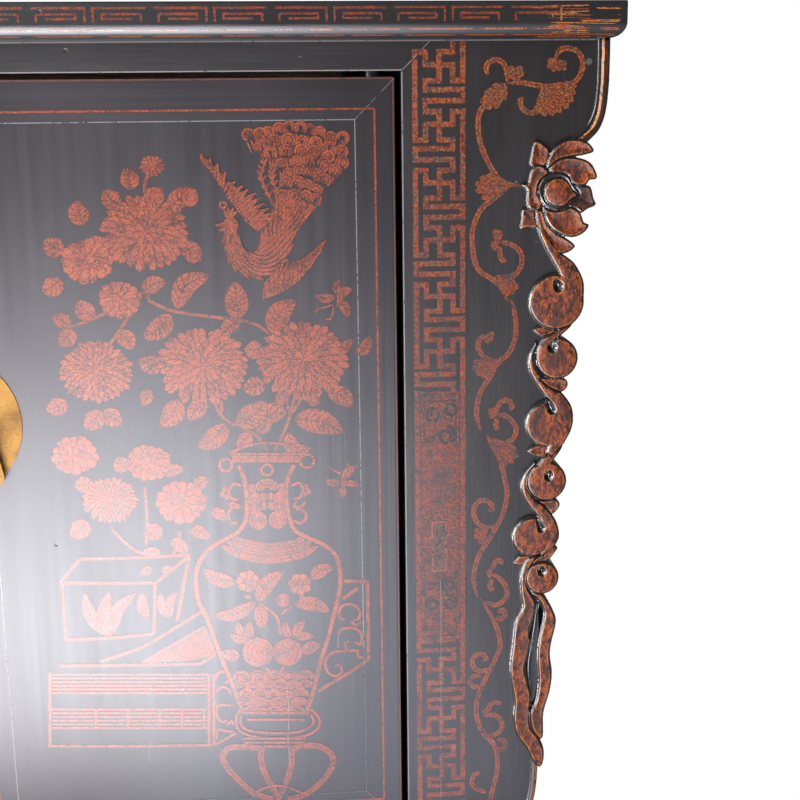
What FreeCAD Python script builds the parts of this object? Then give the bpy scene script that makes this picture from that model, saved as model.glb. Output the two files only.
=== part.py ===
import FreeCAD, Part
import math
import os

from FreeCAD import Vector

# Sideboard in black lacquer: a post-and-rail carcass with a framed top, two flush doors that turn on
# wooden pintles, and carved wings that fill the corners between the front posts and the overhanging top.
# Millimetres, +X to the right, +Y to the back, +Z up, origin on the floor under the middle.

# Whole sideboard
overall_length = 1256.0
overall_depth = 460.0
overall_height = 955.0

# Fits between pieces
joint_slack = 0.2
groove_slack = 0.3
running_fit = 0.08
cut_overrun = 1.0

# Top: a mitred frame round a floating panel
top_thickness = 32.0
top_frame_width = 84.0
top_end_overhang = 10.5
top_front_overhang = 20.0
edge_round_width = 14.0
edge_round_height = 12.5
edge_arris = 1.5
top_panel_thickness = 14.0
panel_tongue_length = 8.0
panel_tongue_thickness = 6.0
panel_lip = 5.0
panel_seam = 0.5
top_batten_width = 40.0
top_batten_height = 14.0
batten_tenon_length = 10.0
batten_tenon_height = 8.0
batten_shoulder = 5.0
top_batten_spacing = 420.0
# The tenons across the top's mitres, as shares of the frame's width and thickness
mitre_tenon_across = (0.4, 0.6)
mitre_tenon_along = (0.25, 0.65)
mitre_tenon_level = 0.4

# Posts and rails
post_width = 66.0
post_depth = 54.0
post_tenon_width = 30.0
post_tenon_depth = 28.0
post_tenon_length = 16.0
leg_height = 112.0
front_top_rail_height = 27.0
front_top_rail_depth = 46.0
front_bottom_rail_depth = 50.0
bottom_rail_height = 34.0
mitre_layer = 10.0
frame_arris = 1.2
rail_tenon_length = 26.0
rail_tenon_thickness = 14.0
rail_tenon_setback = 18.0
rail_tenon_shoulder = 4.0
back_rail_depth = 30.0
back_rail_height = 36.0
side_rail_width = 34.0
side_rail_height = 36.0
side_rail_setback = 4.5
side_tenon_length = 26.0
side_tenon_thickness = 12.0

# Panels of the carcass
side_panel_thickness = 10.0
side_panel_setback = 10.5
back_panel_thickness = 9.0
back_panel_setback = 11.0
back_stile_width = 44.0
back_stile_depth = 26.0
back_stile_setback = 2.0
back_stile_tenon = 12.0
floor_thickness = 11.0
floor_drop = 4.0
floor_batten_width = 40.0
floor_batten_height = 14.0
floor_batten_spacing = 300.0

# Shelf
shelf_level = 473.0
shelf_thickness = 12.0
shelf_front_setback = 60.0
shelf_back_gap = 2.0
bearer_width = 24.0
bearer_height = 56.0
bearer_tenon_height = 50.0
bearer_tenon_thickness = 13.5
shelf_rail_depth = 28.0
shelf_rail_height = 32.0
shelf_rail_inset = 6.0
shelf_rail_tenon = 14.0

# Aprons under the bottom rails
apron_thickness = 14.0
apron_setback = 4.0
apron_end_drop = 44.0
apron_middle_drop = 20.0
apron_shoulder = 46.0
apron_cusp_width = 60.0
apron_cusp_drop = 9.0
# Where each half of the cusp bows, as shares of its half width and its drop
cusp_bow_across = 0.45
cusp_bow_down = 0.62
apron_tongue = 6.0
apron_tongue_thickness = 8.0

# Doors
door_thickness = 28.0
door_member_width = 37.5
door_top_gap = 5.0
door_bottom_gap = 4.0
hinge_gap = 5.0
meeting_gap = 3.0
door_mitre_layer = 8.0
door_hinge_round = 4.0
door_arris = 1.5
door_tenon_length = 20.0
door_tenon_thickness = 8.0
door_tenon_setback = 14.0
door_tenon_inset = 8.0
door_panel_thickness = 12.0
door_batten_width = 36.0
door_batten_thickness = 10.0
door_batten_tenon = 6.0
door_batten_inset = 150.0
pivot_inset = 20.0
pivot_depth = 16.0
pintle_radius = 7.5
pintle_length = 18.0
pintle_seat = 0.3
pintle_lift = 6.0

# Door stops
stop_height = 15.0
stop_depth = 14.0
stop_clearance = 1.0
stop_end_gap = 46.0

# Brass on the doors
plate_radius = 70.0
plate_thickness = 1.2
plate_rise = 60.0
eye_offset = 10.0
eye_thickness = 4.0
eye_reach = 13.0
eye_radius = 7.5
eye_bore = 4.0
eye_shank_radius = 2.0
shank_depth = 10.0
ring_offset = 40.0
ring_radius = 5.0
ring_wire = 1.5
ring_stand_off = 7.3
pull_thickness = 2.0
pull_hole_clearance = 0.5
pull_neck = 2.2
pull_length = 54.0
pull_width = 24.0

# Wings
wing_width = 125.0
wing_thickness = 20.0
wing_tongue = 7.0
wing_tongue_thickness = 8.0
wing_tongue_end_gap = 20.0
wing_top_tongue_height = 6.0
wing_top_tongue_length = 76.0
wing_top_tongue_start = 10.0
carving_bevel = 1.5
petal_relief = 4.6
petal_step = 0.2
leaf_relief = 3.4
leaf_step = 0.1
bud_relief = 6.4
scroll_relief = 5.4
neck_relief = 4.2
ribbon_relief = 5.0
ribbon_step = 0.4
bead_relief = 3.8
scroll_eye_depth = 3.0
bead_width = 9.0
lower_bead_width = 8.0
neck_width = 12.0
ribbon_width = 15.0
peg_radius = 3.0
peg_length = 13.0
peg_proud = 0.5
peg_out = 106.0
peg_down = 20.0

# Carving, measured out from the post and down from the top on a wing of the size drawn here
drawn_wing_width = 125.0
drawn_wing_height = 811.0
bead_path = ((119.5, 0.0), (119.5, 30.0), (117.0, 56.0), (112.5, 73.0), (105.0, 85.0), (96.0, 93.0))
bud_centre = (79.0, 135.0)
bud_radius = 16.0
# The path round each petal or leaf: base, one side, tip, other side
lotus_petal_path = (
    ((74.0, 122.0), (87.0, 88.5), (111.0, 101.0), (90.0, 107.0)),
    ((76.0, 126.0), (96.0, 105.5), (115.0, 124.0), (93.0, 129.0)),
    ((86.0, 145.0), (99.0, 132.0), (113.0, 139.0), (105.0, 155.0)),
    ((75.0, 146.0), (91.0, 150.0), (108.0, 169.0), (80.0, 176.0)),
    ((72.0, 127.0), (64.0, 139.0), (58.0, 156.0), (47.0, 141.0)),
    ((71.0, 130.0), (57.0, 128.0), (43.0, 131.0), (54.0, 114.0)),
)
lotus_leaf_path = (
    ((71.0, 120.0), (70.0, 103.0), (57.0, 89.5), (54.0, 105.0)),
    ((66.0, 147.0), (61.0, 165.0), (43.0, 172.0), (47.0, 157.0)),
    ((64.0, 168.0), (83.0, 177.0), (96.0, 188.0), (76.0, 191.0)),
)
# Each scroll: centre, radius, eye centre, eye radius
scrolls = (
    ((78.0, 236.0), 27.0, (80.0, 227.0), 4.5),
    ((77.0, 293.0), 22.5, (75.0, 284.0), 5.0),
    ((72.0, 353.0), 24.0, (75.0, 344.0), 6.0),
    ((69.0, 414.0), 21.5, (73.0, 409.0), 5.0),
    ((61.0, 470.0), 23.5, (66.0, 463.0), 5.0),
    ((64.0, 513.0), 18.5, (66.0, 506.0), 6.0),
)
# Each neck: a short band that carries the stem across from one scroll to the next
scroll_necks = (
    ((68.0, 174.0), (76.0, 196.0), (90.0, 220.0)),
    ((92.0, 246.0), (80.0, 263.0), (63.0, 284.0)),
    ((62.0, 304.0), (73.0, 322.0), (84.0, 342.0)),
    ((84.0, 364.0), (75.0, 383.0), (58.0, 402.0)),
    ((57.0, 425.0), (66.0, 444.0), (74.0, 461.0)),
    ((71.0, 481.0), (62.0, 494.0), (55.0, 506.0)),
)
scroll_leaf_path = (
    ((73.0, 262.0), (63.0, 259.0), (56.0, 265.0), (65.0, 273.0)),
    ((76.0, 319.0), (88.0, 313.0), (93.0, 321.0), (84.0, 330.0)),
    ((71.0, 384.0), (60.0, 377.0), (52.0, 383.5), (62.0, 392.0)),
    ((70.0, 442.0), (80.0, 436.0), (86.0, 443.5), (76.0, 452.0)),
    ((59.0, 494.0), (47.0, 486.0), (37.5, 497.0), (48.0, 503.0)),
)
ribbon_left = (
    (53.0, 518.0), (56.0, 541.0), (49.0, 564.0), (48.0, 590.0), (45.0, 616.0), (48.0, 642.0), (50.0, 672.0),
    (58.0, 694.0), (66.0, 712.0),
)
ribbon_right = (
    (66.0, 520.0), (73.0, 543.0), (76.0, 562.0), (70.0, 594.0), (72.0, 618.0), (69.0, 642.0), (64.0, 664.0),
    (65.0, 690.0), (68.0, 710.0),
)
# The lower bead: straight below the ribbon, then round the foot to the post
lower_bead_path = (
    (60.5, 704.0), (60.0, 728.0), (59.0, 746.0), (55.0, 768.0), (45.0, 788.0), (27.0, 800.0), (5.0, 804.0),
)
# The plain edge of the board, hidden under the carving
ground_edge = (
    (100.0, 92.0), (86.0, 150.0), (80.0, 230.0), (74.0, 320.0), (68.0, 410.0), (64.0, 500.0), (68.0, 600.0),
    (67.0, 650.0),
)

# Places worked out from the sizes above
half_length = overall_length / 2
half_depth = overall_depth / 2
underside = overall_height - top_thickness
front_face = top_front_overhang - half_depth
back_face = -front_face
post_outer = half_length - top_end_overhang - wing_width
post_inner = post_outer - post_width
post_middle = post_outer - post_width / 2
front_post_back = front_face + post_depth
back_post_front = -front_post_back
opening_top = underside - front_top_rail_height
opening_bottom = leg_height + bottom_rail_height
door_top = opening_top - door_top_gap
door_bottom = opening_bottom + door_bottom_gap
door_outer = post_inner - hinge_gap
door_meeting = meeting_gap / 2
door_back = front_face + door_thickness
pivot_x = door_outer - pivot_inset
pivot_y = front_face + pivot_depth
plate_level = (door_top + door_bottom) / 2 + plate_rise
back_rail_front = back_face - back_rail_depth
side_rail_outer = post_outer - side_rail_setback
side_rail_inner = side_rail_outer - side_rail_width
front_rail_back = front_face + front_bottom_rail_depth
floor_top = opening_bottom - floor_drop
carving_across = wing_width / drawn_wing_width
carving_down = (underside - leg_height) / drawn_wing_height

parts = {}


def block(x, y, z):
    """A box from three (low, high) pairs."""
    return Part.makeBox(x[1] - x[0], y[1] - y[0], z[1] - z[0], Vector(x[0], y[0], z[0]))


def around(middle, size):
    """The (low, high) pair of a size set evenly about a middle."""
    return middle - size / 2, middle + size / 2


def hollow(x, y, z, slack):
    """The box that takes a tenon or a tongue of these pairs, with slack all round."""
    return block(*((low - slack, high + slack) for low, high in (x, y, z)))


def mirrored(shape):
    """The left-hand twin of a right-hand shape."""
    return shape.mirror(Vector(0, 0, 0), Vector(1, 0, 0))


def both_sides(shape):
    """A right-hand cutter or group together with its left-hand twin."""
    return [shape, mirrored(shape)]


def flat(points):
    """A plane face from its corners."""
    return Part.Face(Part.makePolygon(list(points) + [points[0]]))


def softened(shape, radius, chosen):
    """A shape with a small round on the edges whose middles are chosen."""
    edges = [edge for edge in shape.Edges if chosen(edge.BoundBox.Center)]
    return shape.makeFillet(radius, edges)


def same(one, other):
    """Whether two lengths are the same place."""
    return abs(one - other) < 1e-6


def keep_pair(name, shape):
    """Files a right-hand piece and its left-hand twin."""
    parts[name + "_right"] = shape
    parts[name + "_left"] = mirrored(shape)


def arc(start, middle, end):
    return Part.Arc(start, middle, end).toShape()


def line(start, end):
    return Part.LineSegment(start, end).toShape()


# Top: the moulded frame, its panel and battens

def edge_face(place):
    """The frame's section: place(inward, height) puts a point of it in space."""
    inner = top_frame_width
    arris_middle = edge_arris * (1 - math.sqrt(0.5))
    round_middle = (edge_round_width * (1 - math.sqrt(0.5)), edge_round_height * (1 - math.sqrt(0.5)))
    edges = [
        line(place(inner, 0), place(inner, top_thickness)),
        line(place(inner, top_thickness), place(edge_arris, top_thickness)),
        arc(place(edge_arris, top_thickness), place(arris_middle, top_thickness - arris_middle),
            place(0, top_thickness - edge_arris)),
        line(place(0, top_thickness - edge_arris), place(0, edge_round_height)),
        arc(place(0, edge_round_height), place(*round_middle), place(edge_round_width, 0)),
        line(place(edge_round_width, 0), place(inner, 0)),
    ]
    return Part.Face(Part.Wire(edges))


def mitred(bar, corners):
    """A bar cut to the four corners, in plan, of its mitred piece."""
    plan = flat([Vector(x, y, underside) for x, y in corners])
    return bar.common(plan.extrude(Vector(0, 0, top_thickness)))


def top_panel_ranges(grow):
    """The panel's plan, grown past the seam into the groove."""
    reach_x = half_length - top_frame_width + grow
    reach_y = half_depth - top_frame_width + grow
    return (-reach_x, reach_x), (-reach_y, reach_y)


def make_top():
    inner_x = half_length - top_frame_width
    inner_y = half_depth - top_frame_width
    front = edge_face(lambda inward, height: Vector(-half_length, inward - half_depth, underside + height))
    end = edge_face(lambda inward, height: Vector(half_length - inward, -half_depth, underside + height))
    front_corners = [(-half_length, -half_depth), (half_length, -half_depth),
                     (inner_x, -inner_y), (-inner_x, -inner_y)]
    end_corners = [(half_length, -half_depth), (half_length, half_depth),
                   (inner_x, inner_y), (inner_x, -inner_y)]
    front_rail = mitred(front.extrude(Vector(overall_length, 0, 0)), front_corners)
    end_rail = mitred(end.extrude(Vector(0, overall_depth, 0)), end_corners)

    # The panel's tongue in the frame's groove
    tongue_z = (overall_height - panel_lip - panel_tongue_thickness, overall_height - panel_lip)
    groove = hollow(*top_panel_ranges(panel_tongue_length), tongue_z, groove_slack)
    panel_z = (overall_height - top_panel_thickness, overall_height)
    panel_tongue = block(*top_panel_ranges(panel_tongue_length), tongue_z)
    panel = block(*top_panel_ranges(-panel_seam), panel_z).fuse(panel_tongue)

    # Tenons of the ends across the mitres
    tenon_x = tuple(half_length - share * top_frame_width for share in reversed(mitre_tenon_across))
    tenon_y = tuple(share * top_frame_width - half_depth for share in mitre_tenon_along)
    tenon_z = around(underside + mitre_tenon_level * top_thickness, batten_tenon_height)
    far_tenon_y = (-tenon_y[1], -tenon_y[0])
    end_rail = end_rail.cut(groove)
    end_rail = end_rail.fuse([block(tenon_x, tenon_y, tenon_z), block(tenon_x, far_tenon_y, tenon_z)])
    mitre_mortises = both_sides(hollow(tenon_x, tenon_y, tenon_z, joint_slack))

    # Battens tenoned between the long rails, under the panel
    batten_top = overall_height - top_panel_thickness
    batten_z = (batten_top - top_batten_height, batten_top)
    batten_x = around(top_batten_spacing / 2, top_batten_width)
    tenon = (around(top_batten_spacing / 2, top_batten_width - 2 * batten_shoulder),
             (-inner_y - batten_tenon_length, inner_y + batten_tenon_length),
             around((batten_z[0] + batten_z[1]) / 2, batten_tenon_height))
    batten = block(batten_x, (-inner_y, inner_y), batten_z).fuse(block(*tenon))

    # Mortises for the posts' top tenons and grooves for the wings' top tongues
    cuts = [groove] + mitre_mortises + both_sides(hollow(*tenon, joint_slack))
    cuts += both_sides(hollow(*post_tenon_ranges(), joint_slack))
    cuts += both_sides(hollow(*wing_top_tongue(), joint_slack))
    front_rail = front_rail.cut(cuts)
    parts["top_front_rail"] = front_rail
    parts["top_back_rail"] = front_rail.mirror(Vector(0, 0, 0), Vector(0, 1, 0))
    keep_pair("top_end", end_rail)
    parts["top_panel"] = panel
    parts["top_battens"] = Part.makeCompound(both_sides(batten))


# Posts and rails

def post_tenon_ranges():
    """The tenon on top of the right front post."""
    return (around(post_middle, post_tenon_width), around(front_face + post_depth / 2, post_tenon_depth),
            (underside, underside + post_tenon_length))


def front_tenon(bottom, top):
    """The tenon at the right end of a front rail between two heights."""
    return ((post_inner, post_inner + rail_tenon_length),
            (front_face + rail_tenon_setback, front_face + rail_tenon_setback + rail_tenon_thickness),
            (bottom + rail_tenon_shoulder, top - rail_tenon_shoulder))


def back_tenon(bottom, top):
    """The tenon at the right end of a back rail between two heights."""
    return ((post_inner, post_inner + rail_tenon_length),
            around(back_face - back_rail_depth / 2, rail_tenon_thickness),
            (bottom + rail_tenon_shoulder, top - rail_tenon_shoulder))


def side_tenon(bottom, top):
    """The tenon of a right side rail, through its whole length from front post to back post."""
    return (around((side_rail_inner + side_rail_outer) / 2 - side_panel_thickness, side_tenon_thickness),
            (front_post_back - side_tenon_length, back_post_front + side_tenon_length),
            (bottom + rail_tenon_shoulder, top - rail_tenon_shoulder))


def bearer_tenon():
    """The shelf bearer's tenon: through the front post, blind in the back post."""
    middle = shelf_level - bearer_height / 2
    return (around(post_middle, bearer_tenon_thickness), (front_face, back_post_front + side_tenon_length),
            around(middle, bearer_tenon_height))


def mitre_shoulder(slack):
    """The three-cornered front shoulder that mitres the top rail into the right post."""
    reach = front_top_rail_height
    corners = [(post_inner - slack, opening_top), (post_inner, opening_top),
               (post_inner + reach, underside), (post_inner - slack, underside)]
    return flat([Vector(x, front_face, z) for x, z in corners]).extrude(Vector(0, mitre_layer, 0))


def side_panel_ranges(grow):
    outer = post_outer - side_panel_setback
    reach = panel_tongue_length + grow
    return ((outer - side_panel_thickness, outer), (front_post_back - reach, back_post_front + reach),
            (opening_bottom - reach, underside - side_rail_height + reach))


def back_panel_ranges(grow):
    outer = back_face - back_panel_setback
    reach = panel_tongue_length + grow
    return ((back_stile_width / 2 - reach, post_inner + reach), (outer - back_panel_thickness, outer),
            (opening_bottom - reach, underside - back_rail_height + reach))


def floor_shape(slack):
    """The floor board with its edges in the rails' grooves, notched round the four posts."""
    reach = panel_tongue_length + slack
    x = (-side_rail_inner - reach, side_rail_inner + reach)
    y = (front_rail_back - reach, back_rail_front + reach)
    board = block(x, y, (floor_top - floor_thickness - slack, floor_top + slack))
    clear = groove_slack - slack
    notch_x = (post_inner - clear, post_outer)
    front_notch = block(notch_x, (front_face, front_post_back + clear), (0, underside))
    back_notch = block(notch_x, (back_post_front - clear, back_face), (0, underside))
    return board.cut(both_sides(front_notch) + both_sides(back_notch))


def floor_batten_ranges():
    top = floor_top - floor_thickness
    z = (top - floor_batten_height, top)
    x_middle = floor_batten_spacing / 2
    body = (around(x_middle, floor_batten_width), (front_rail_back, back_rail_front), z)
    tenon = (around(x_middle, floor_batten_width - 2 * batten_shoulder),
             (front_rail_back - batten_tenon_length, back_rail_front + batten_tenon_length),
             around((z[0] + z[1]) / 2, batten_tenon_height))
    return body, tenon


def make_posts():
    rail_levels = (leg_height, opening_bottom)
    side_top = (underside - side_rail_height, underside)
    back_top = (underside - back_rail_height, underside)
    side_cuts = [hollow(*side_tenon(*rail_levels), joint_slack), hollow(*side_tenon(*side_top), joint_slack),
                 hollow(*side_panel_ranges(0), groove_slack), hollow(*bearer_tenon(), joint_slack),
                 side_apron_hollow()]
    x = (post_inner, post_outer)

    front = block(x, (front_face, front_post_back), (0, underside))
    front = softened(front, frame_arris, lambda at: same(at.x, post_inner) and same(at.y, front_face))
    front = front.fuse(block(*post_tenon_ranges()))
    front_cuts = side_cuts + [hollow(*front_tenon(*rail_levels), joint_slack),
                              hollow(*front_tenon(opening_top, underside), joint_slack),
                              hollow(*wing_tongue_ranges(), joint_slack),
                              mitre_shoulder(cut_overrun), front_apron_hollow()]
    keep_pair("front_post", front.cut(front_cuts))

    back_tenon_top = block(*post_tenon_ranges()).mirror(Vector(0, 0, 0), Vector(0, 1, 0))
    back_wing_groove = hollow(*wing_tongue_ranges(), joint_slack).mirror(Vector(0, 0, 0), Vector(0, 1, 0))
    back = block(x, (back_post_front, back_face), (0, underside)).fuse(back_tenon_top)
    back_cuts = side_cuts + [hollow(*back_tenon(*rail_levels), joint_slack),
                             hollow(*back_tenon(*back_top), joint_slack),
                             hollow(*back_panel_ranges(0), groove_slack), back_wing_groove]
    keep_pair("back_post", back.cut(back_cuts))


def make_front_rails():
    span = (-post_inner, post_inner)
    tenon = front_tenon(opening_top, underside)
    top = block(span, (front_face, front_face + front_top_rail_depth), (opening_top, underside))
    top = softened(top, frame_arris, lambda at: same(at.z, opening_top) and same(at.y, front_face))
    top = top.fuse(both_sides(block(*tenon)) + both_sides(mitre_shoulder(0.0)))
    socket_depth = pintle_length - door_top_gap + pintle_lift
    socket_start = Vector(pivot_x, pivot_y, opening_top)
    socket = Part.makeCylinder(pintle_radius + running_fit, socket_depth, socket_start)
    parts["front_top_rail"] = top.cut(both_sides(socket))

    tenon = front_tenon(leg_height, opening_bottom)
    bottom = block(span, (front_face, front_rail_back), (leg_height, opening_bottom))
    bottom = softened(bottom, frame_arris, lambda at: same(at.z, opening_bottom) and same(at.y, front_face))
    bottom = bottom.fuse(both_sides(block(*tenon)))
    socket_depth = pintle_length - door_bottom_gap + pintle_seat
    socket_start = Vector(pivot_x, pivot_y, opening_bottom - socket_depth)
    socket = Part.makeCylinder(pintle_radius + running_fit, socket_depth, socket_start)
    batten_mortise = hollow(*floor_batten_ranges()[1], joint_slack)
    cuts = both_sides(socket) + both_sides(batten_mortise) + [floor_shape(groove_slack), front_apron_hollow()]
    parts["front_bottom_rail"] = bottom.cut(cuts)


def make_back():
    span = (-post_inner, post_inner)
    top_level = (underside - back_rail_height, underside)
    bottom_level = (leg_height, opening_bottom)
    y = (back_rail_front, back_face)
    stile_y = (back_face - back_stile_setback - back_stile_depth, back_face - back_stile_setback)
    stile_tenon = (around(0, back_stile_width - 2 * batten_shoulder),
                   around(sum(stile_y) / 2, batten_tenon_height),
                   (opening_bottom - back_stile_tenon, underside - back_rail_height + back_stile_tenon))
    panel_grooves = both_sides(hollow(*back_panel_ranges(0), groove_slack))
    cuts = panel_grooves + [hollow(*stile_tenon, joint_slack), floor_shape(groove_slack)]
    cuts += both_sides(hollow(*floor_batten_ranges()[1], joint_slack))

    top = block(span, y, top_level).fuse(both_sides(block(*back_tenon(*top_level))))
    bottom = block(span, y, bottom_level).fuse(both_sides(block(*back_tenon(*bottom_level))))
    parts["back_top_rail"] = top.cut(cuts)
    parts["back_bottom_rail"] = bottom.cut(cuts)
    stile = block(around(0, back_stile_width), stile_y, (opening_bottom, underside - back_rail_height))
    parts["back_stile"] = stile.fuse(block(*stile_tenon)).cut(panel_grooves)
    keep_pair("back_panel", block(*back_panel_ranges(0)))


def make_sides():
    x = (side_rail_inner, side_rail_outer)
    y = (front_post_back, back_post_front)
    top_level = (underside - side_rail_height, underside)
    bottom_level = (leg_height, opening_bottom)
    panel_groove = hollow(*side_panel_ranges(0), groove_slack)
    top = block(x, y, top_level).fuse(block(*side_tenon(*top_level)))
    bottom = block(x, y, bottom_level).fuse(block(*side_tenon(*bottom_level)))
    keep_pair("side_top_rail", top.cut(panel_groove))
    keep_pair("side_bottom_rail", bottom.cut([panel_groove, floor_shape(groove_slack), side_apron_hollow()]))
    keep_pair("side_panel", block(*side_panel_ranges(0)))


def make_floor():
    parts["floor_board"] = floor_shape(0.0)
    body, tenon = floor_batten_ranges()
    parts["floor_battens"] = Part.makeCompound(both_sides(block(*body).fuse(block(*tenon))))


# Shelf on two bearers and two rails

def make_shelf():
    bearer_x = around(post_middle, bearer_width)
    bearer_z = (shelf_level - bearer_height, shelf_level)
    front_edge = front_face + shelf_front_setback
    front_y = (front_edge + shelf_rail_inset, front_edge + shelf_rail_inset + shelf_rail_depth)
    rail_z = (shelf_level - shelf_rail_height, shelf_level)
    rail_end = bearer_x[0] + shelf_rail_tenon
    tenon = ((-rail_end, rail_end), around(sum(front_y) / 2, side_tenon_thickness),
             (rail_z[0] + rail_tenon_shoulder, rail_z[1] - rail_tenon_shoulder))
    rail = block((-bearer_x[0], bearer_x[0]), front_y, rail_z).fuse(block(*tenon))
    back_rail = rail.mirror(Vector(0, 0, 0), Vector(0, 1, 0))
    mortise = hollow(*tenon, joint_slack)
    back_mortise = mortise.mirror(Vector(0, 0, 0), Vector(0, 1, 0))

    bearer = block(bearer_x, (front_post_back, back_post_front), bearer_z).fuse(block(*bearer_tenon()))
    keep_pair("shelf_bearer", bearer.cut([mortise, back_mortise]))
    parts["shelf_front_rail"] = rail
    parts["shelf_back_rail"] = back_rail

    board_z = (shelf_level, shelf_level + shelf_thickness)
    between_posts = (groove_slack - post_inner, post_inner - groove_slack)
    panel_face = back_face - back_panel_setback - back_panel_thickness
    stile_face = back_face - back_stile_setback - back_stile_depth
    board = block((-bearer_x[1], bearer_x[1]), (front_edge, back_post_front - groove_slack), board_z)
    tail = block(between_posts, (front_edge, min(panel_face, stile_face) - shelf_back_gap), board_z)
    parts["shelf_board"] = board.fuse(tail).removeSplitter()


# Aprons with a shouldered, cusped lower edge

def apron_face(half_span, place):
    """The apron's outline: deep at the posts, rising on a quarter round to a flat, cusped middle."""
    flat_edge = leg_height - apron_middle_drop
    deep_edge = leg_height - apron_end_drop
    rise = apron_end_drop - apron_middle_drop
    bend = math.sqrt(0.5)
    shoulder_start = half_span - apron_shoulder
    cusp_half = apron_cusp_width / 2
    bow_across = cusp_half * cusp_bow_across
    bow_level = flat_edge - apron_cusp_drop * cusp_bow_down

    def side(sign):
        outer = place(sign * half_span, deep_edge)
        middle = place(sign * (half_span - apron_shoulder * (1 - bend)), flat_edge - rise * (1 - bend))
        inner = place(sign * shoulder_start, flat_edge)
        return outer, middle, inner

    left, right = side(-1), side(1)
    tip = place(0, flat_edge - apron_cusp_drop)
    cusp_left = place(-cusp_half, flat_edge)
    cusp_right = place(cusp_half, flat_edge)
    edges = [
        line(place(-half_span, leg_height), left[0]),
        arc(*left),
        line(left[2], cusp_left),
        arc(cusp_left, place(-bow_across, bow_level), tip),
        arc(tip, place(bow_across, bow_level), cusp_right),
        line(cusp_right, right[2]),
        arc(right[2], right[1], right[0]),
        line(right[0], place(half_span, leg_height)),
        line(place(half_span, leg_height), place(-half_span, leg_height)),
    ]
    return Part.Face(Part.Wire(edges))


def front_apron_tongue():
    y = around(front_face + apron_setback + apron_thickness / 2, apron_tongue_thickness)
    reach = post_inner + apron_tongue
    return (-reach, reach), y, (leg_height - apron_middle_drop, leg_height + apron_tongue)


def front_apron_hollow():
    return hollow(*front_apron_tongue(), joint_slack)


def side_apron_tongue():
    x = around(side_rail_outer - apron_setback - apron_thickness / 2, apron_tongue_thickness)
    reach = back_post_front + apron_tongue
    return x, (-reach, reach), (leg_height - apron_middle_drop, leg_height + apron_tongue)


def side_apron_hollow():
    return hollow(*side_apron_tongue(), joint_slack)


def make_aprons():
    front_y = front_face + apron_setback
    face = apron_face(post_inner, lambda along, height: Vector(along, front_y, height))
    parts["front_apron"] = apron_board(face, Vector(0, apron_thickness, 0), front_apron_tongue())
    side_x = side_rail_outer - apron_setback
    face = apron_face(back_post_front, lambda along, height: Vector(side_x, along, height))
    keep_pair("side_apron", apron_board(face, Vector(-apron_thickness, 0, 0), side_apron_tongue()))


def apron_board(face, thickness, tongue):
    """The shaped board with its tongue, which keeps off the cusp."""
    low_end = tongue[2][0] + apron_tongue
    tongue_block = block(tongue[0], tongue[1], (low_end, tongue[2][1]))
    return face.extrude(thickness).fuse(tongue_block).removeSplitter()


# Wings: boards with a carved lotus, a chain of scrolls, a ribbon and an edge bead

def wing_tongue_ranges():
    """The tongue along the wing's inner edge, in the post's groove."""
    y = around(front_face + wing_thickness / 2, wing_tongue_thickness)
    return ((post_outer - wing_tongue, post_outer), y,
            (leg_height + wing_tongue_end_gap, underside - wing_tongue_end_gap))


def wing_top_tongue():
    """The tongue along the wing's top edge, in the groove under the top."""
    y = around(front_face + wing_thickness / 2, wing_tongue_thickness)
    start = post_outer + wing_top_tongue_start
    return (start, start + wing_top_tongue_length), y, (underside, underside + wing_top_tongue_height)


def carved(point, height):
    """A point of the carving: out from the post, down from the top, at a height off the ground."""
    out, down = point
    return Vector(post_outer + out * carving_across, front_face - height, underside - down * carving_down)


def curve(points):
    spline = Part.BSplineCurve()
    spline.interpolate(points)
    return spline.toShape()


def leaf_wire(corners, height, inset):
    """A leaf of two arcs, base to tip and back, drawn in towards its middle by an inset."""
    middle = [sum(corner[axis] for corner in corners) / 4 for axis in (0, 1)]

    def drawn_in(corner):
        away = math.hypot(corner[0] - middle[0], corner[1] - middle[1])
        share = 1 - inset / away
        return carved([middle[axis] + (corner[axis] - middle[axis]) * share for axis in (0, 1)], height)

    base, one_side, tip, other_side = (drawn_in(corner) for corner in corners)
    return Part.Wire([arc(base, one_side, tip), arc(tip, other_side, base)])


def band_wire(path, width, height):
    """A band of one width along a path."""
    left, right = [], []
    for index, point in enumerate(path):
        before = path[max(index - 1, 0)]
        after = path[min(index + 1, len(path) - 1)]
        step = (after[0] - before[0], after[1] - before[1])
        size = math.hypot(*step)
        across = (-step[1] / size * width / 2, step[0] / size * width / 2)
        left.append(carved((point[0] + across[0], point[1] + across[1]), height))
        right.append(carved((point[0] - across[0], point[1] - across[1]), height))
    right.reverse()
    return Part.Wire([curve(left), line(left[-1], right[0]), curve(right), line(right[-1], left[0])])


def disc_wire(centre, radius, height):
    ring = Part.Circle(carved(centre, height), Vector(0, -1, 0), radius * carving_across)
    return Part.Wire([ring.toShape()])


def raised(wire_at, relief):
    """A carved form through the whole board, bevelled at its face: wire_at(height, inset) is its outline."""
    shoulder = relief - carving_bevel
    stem = Part.Face(wire_at(shoulder, 0.0)).extrude(Vector(0, wing_thickness + shoulder, 0))
    crown = Part.makeLoft([wire_at(shoulder, 0.0), wire_at(relief, carving_bevel)], True, True)
    return stem.fuse(crown)


def carved_leaf(corners, relief):
    return raised(lambda height, inset: leaf_wire(corners, height, inset), relief)


def carved_band(path, width, relief):
    return raised(lambda height, inset: band_wire(path, width - 2 * inset, height), relief)


def carved_disc(centre, radius, relief):
    return raised(lambda height, inset: disc_wire(centre, radius - inset, height), relief)


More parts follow.
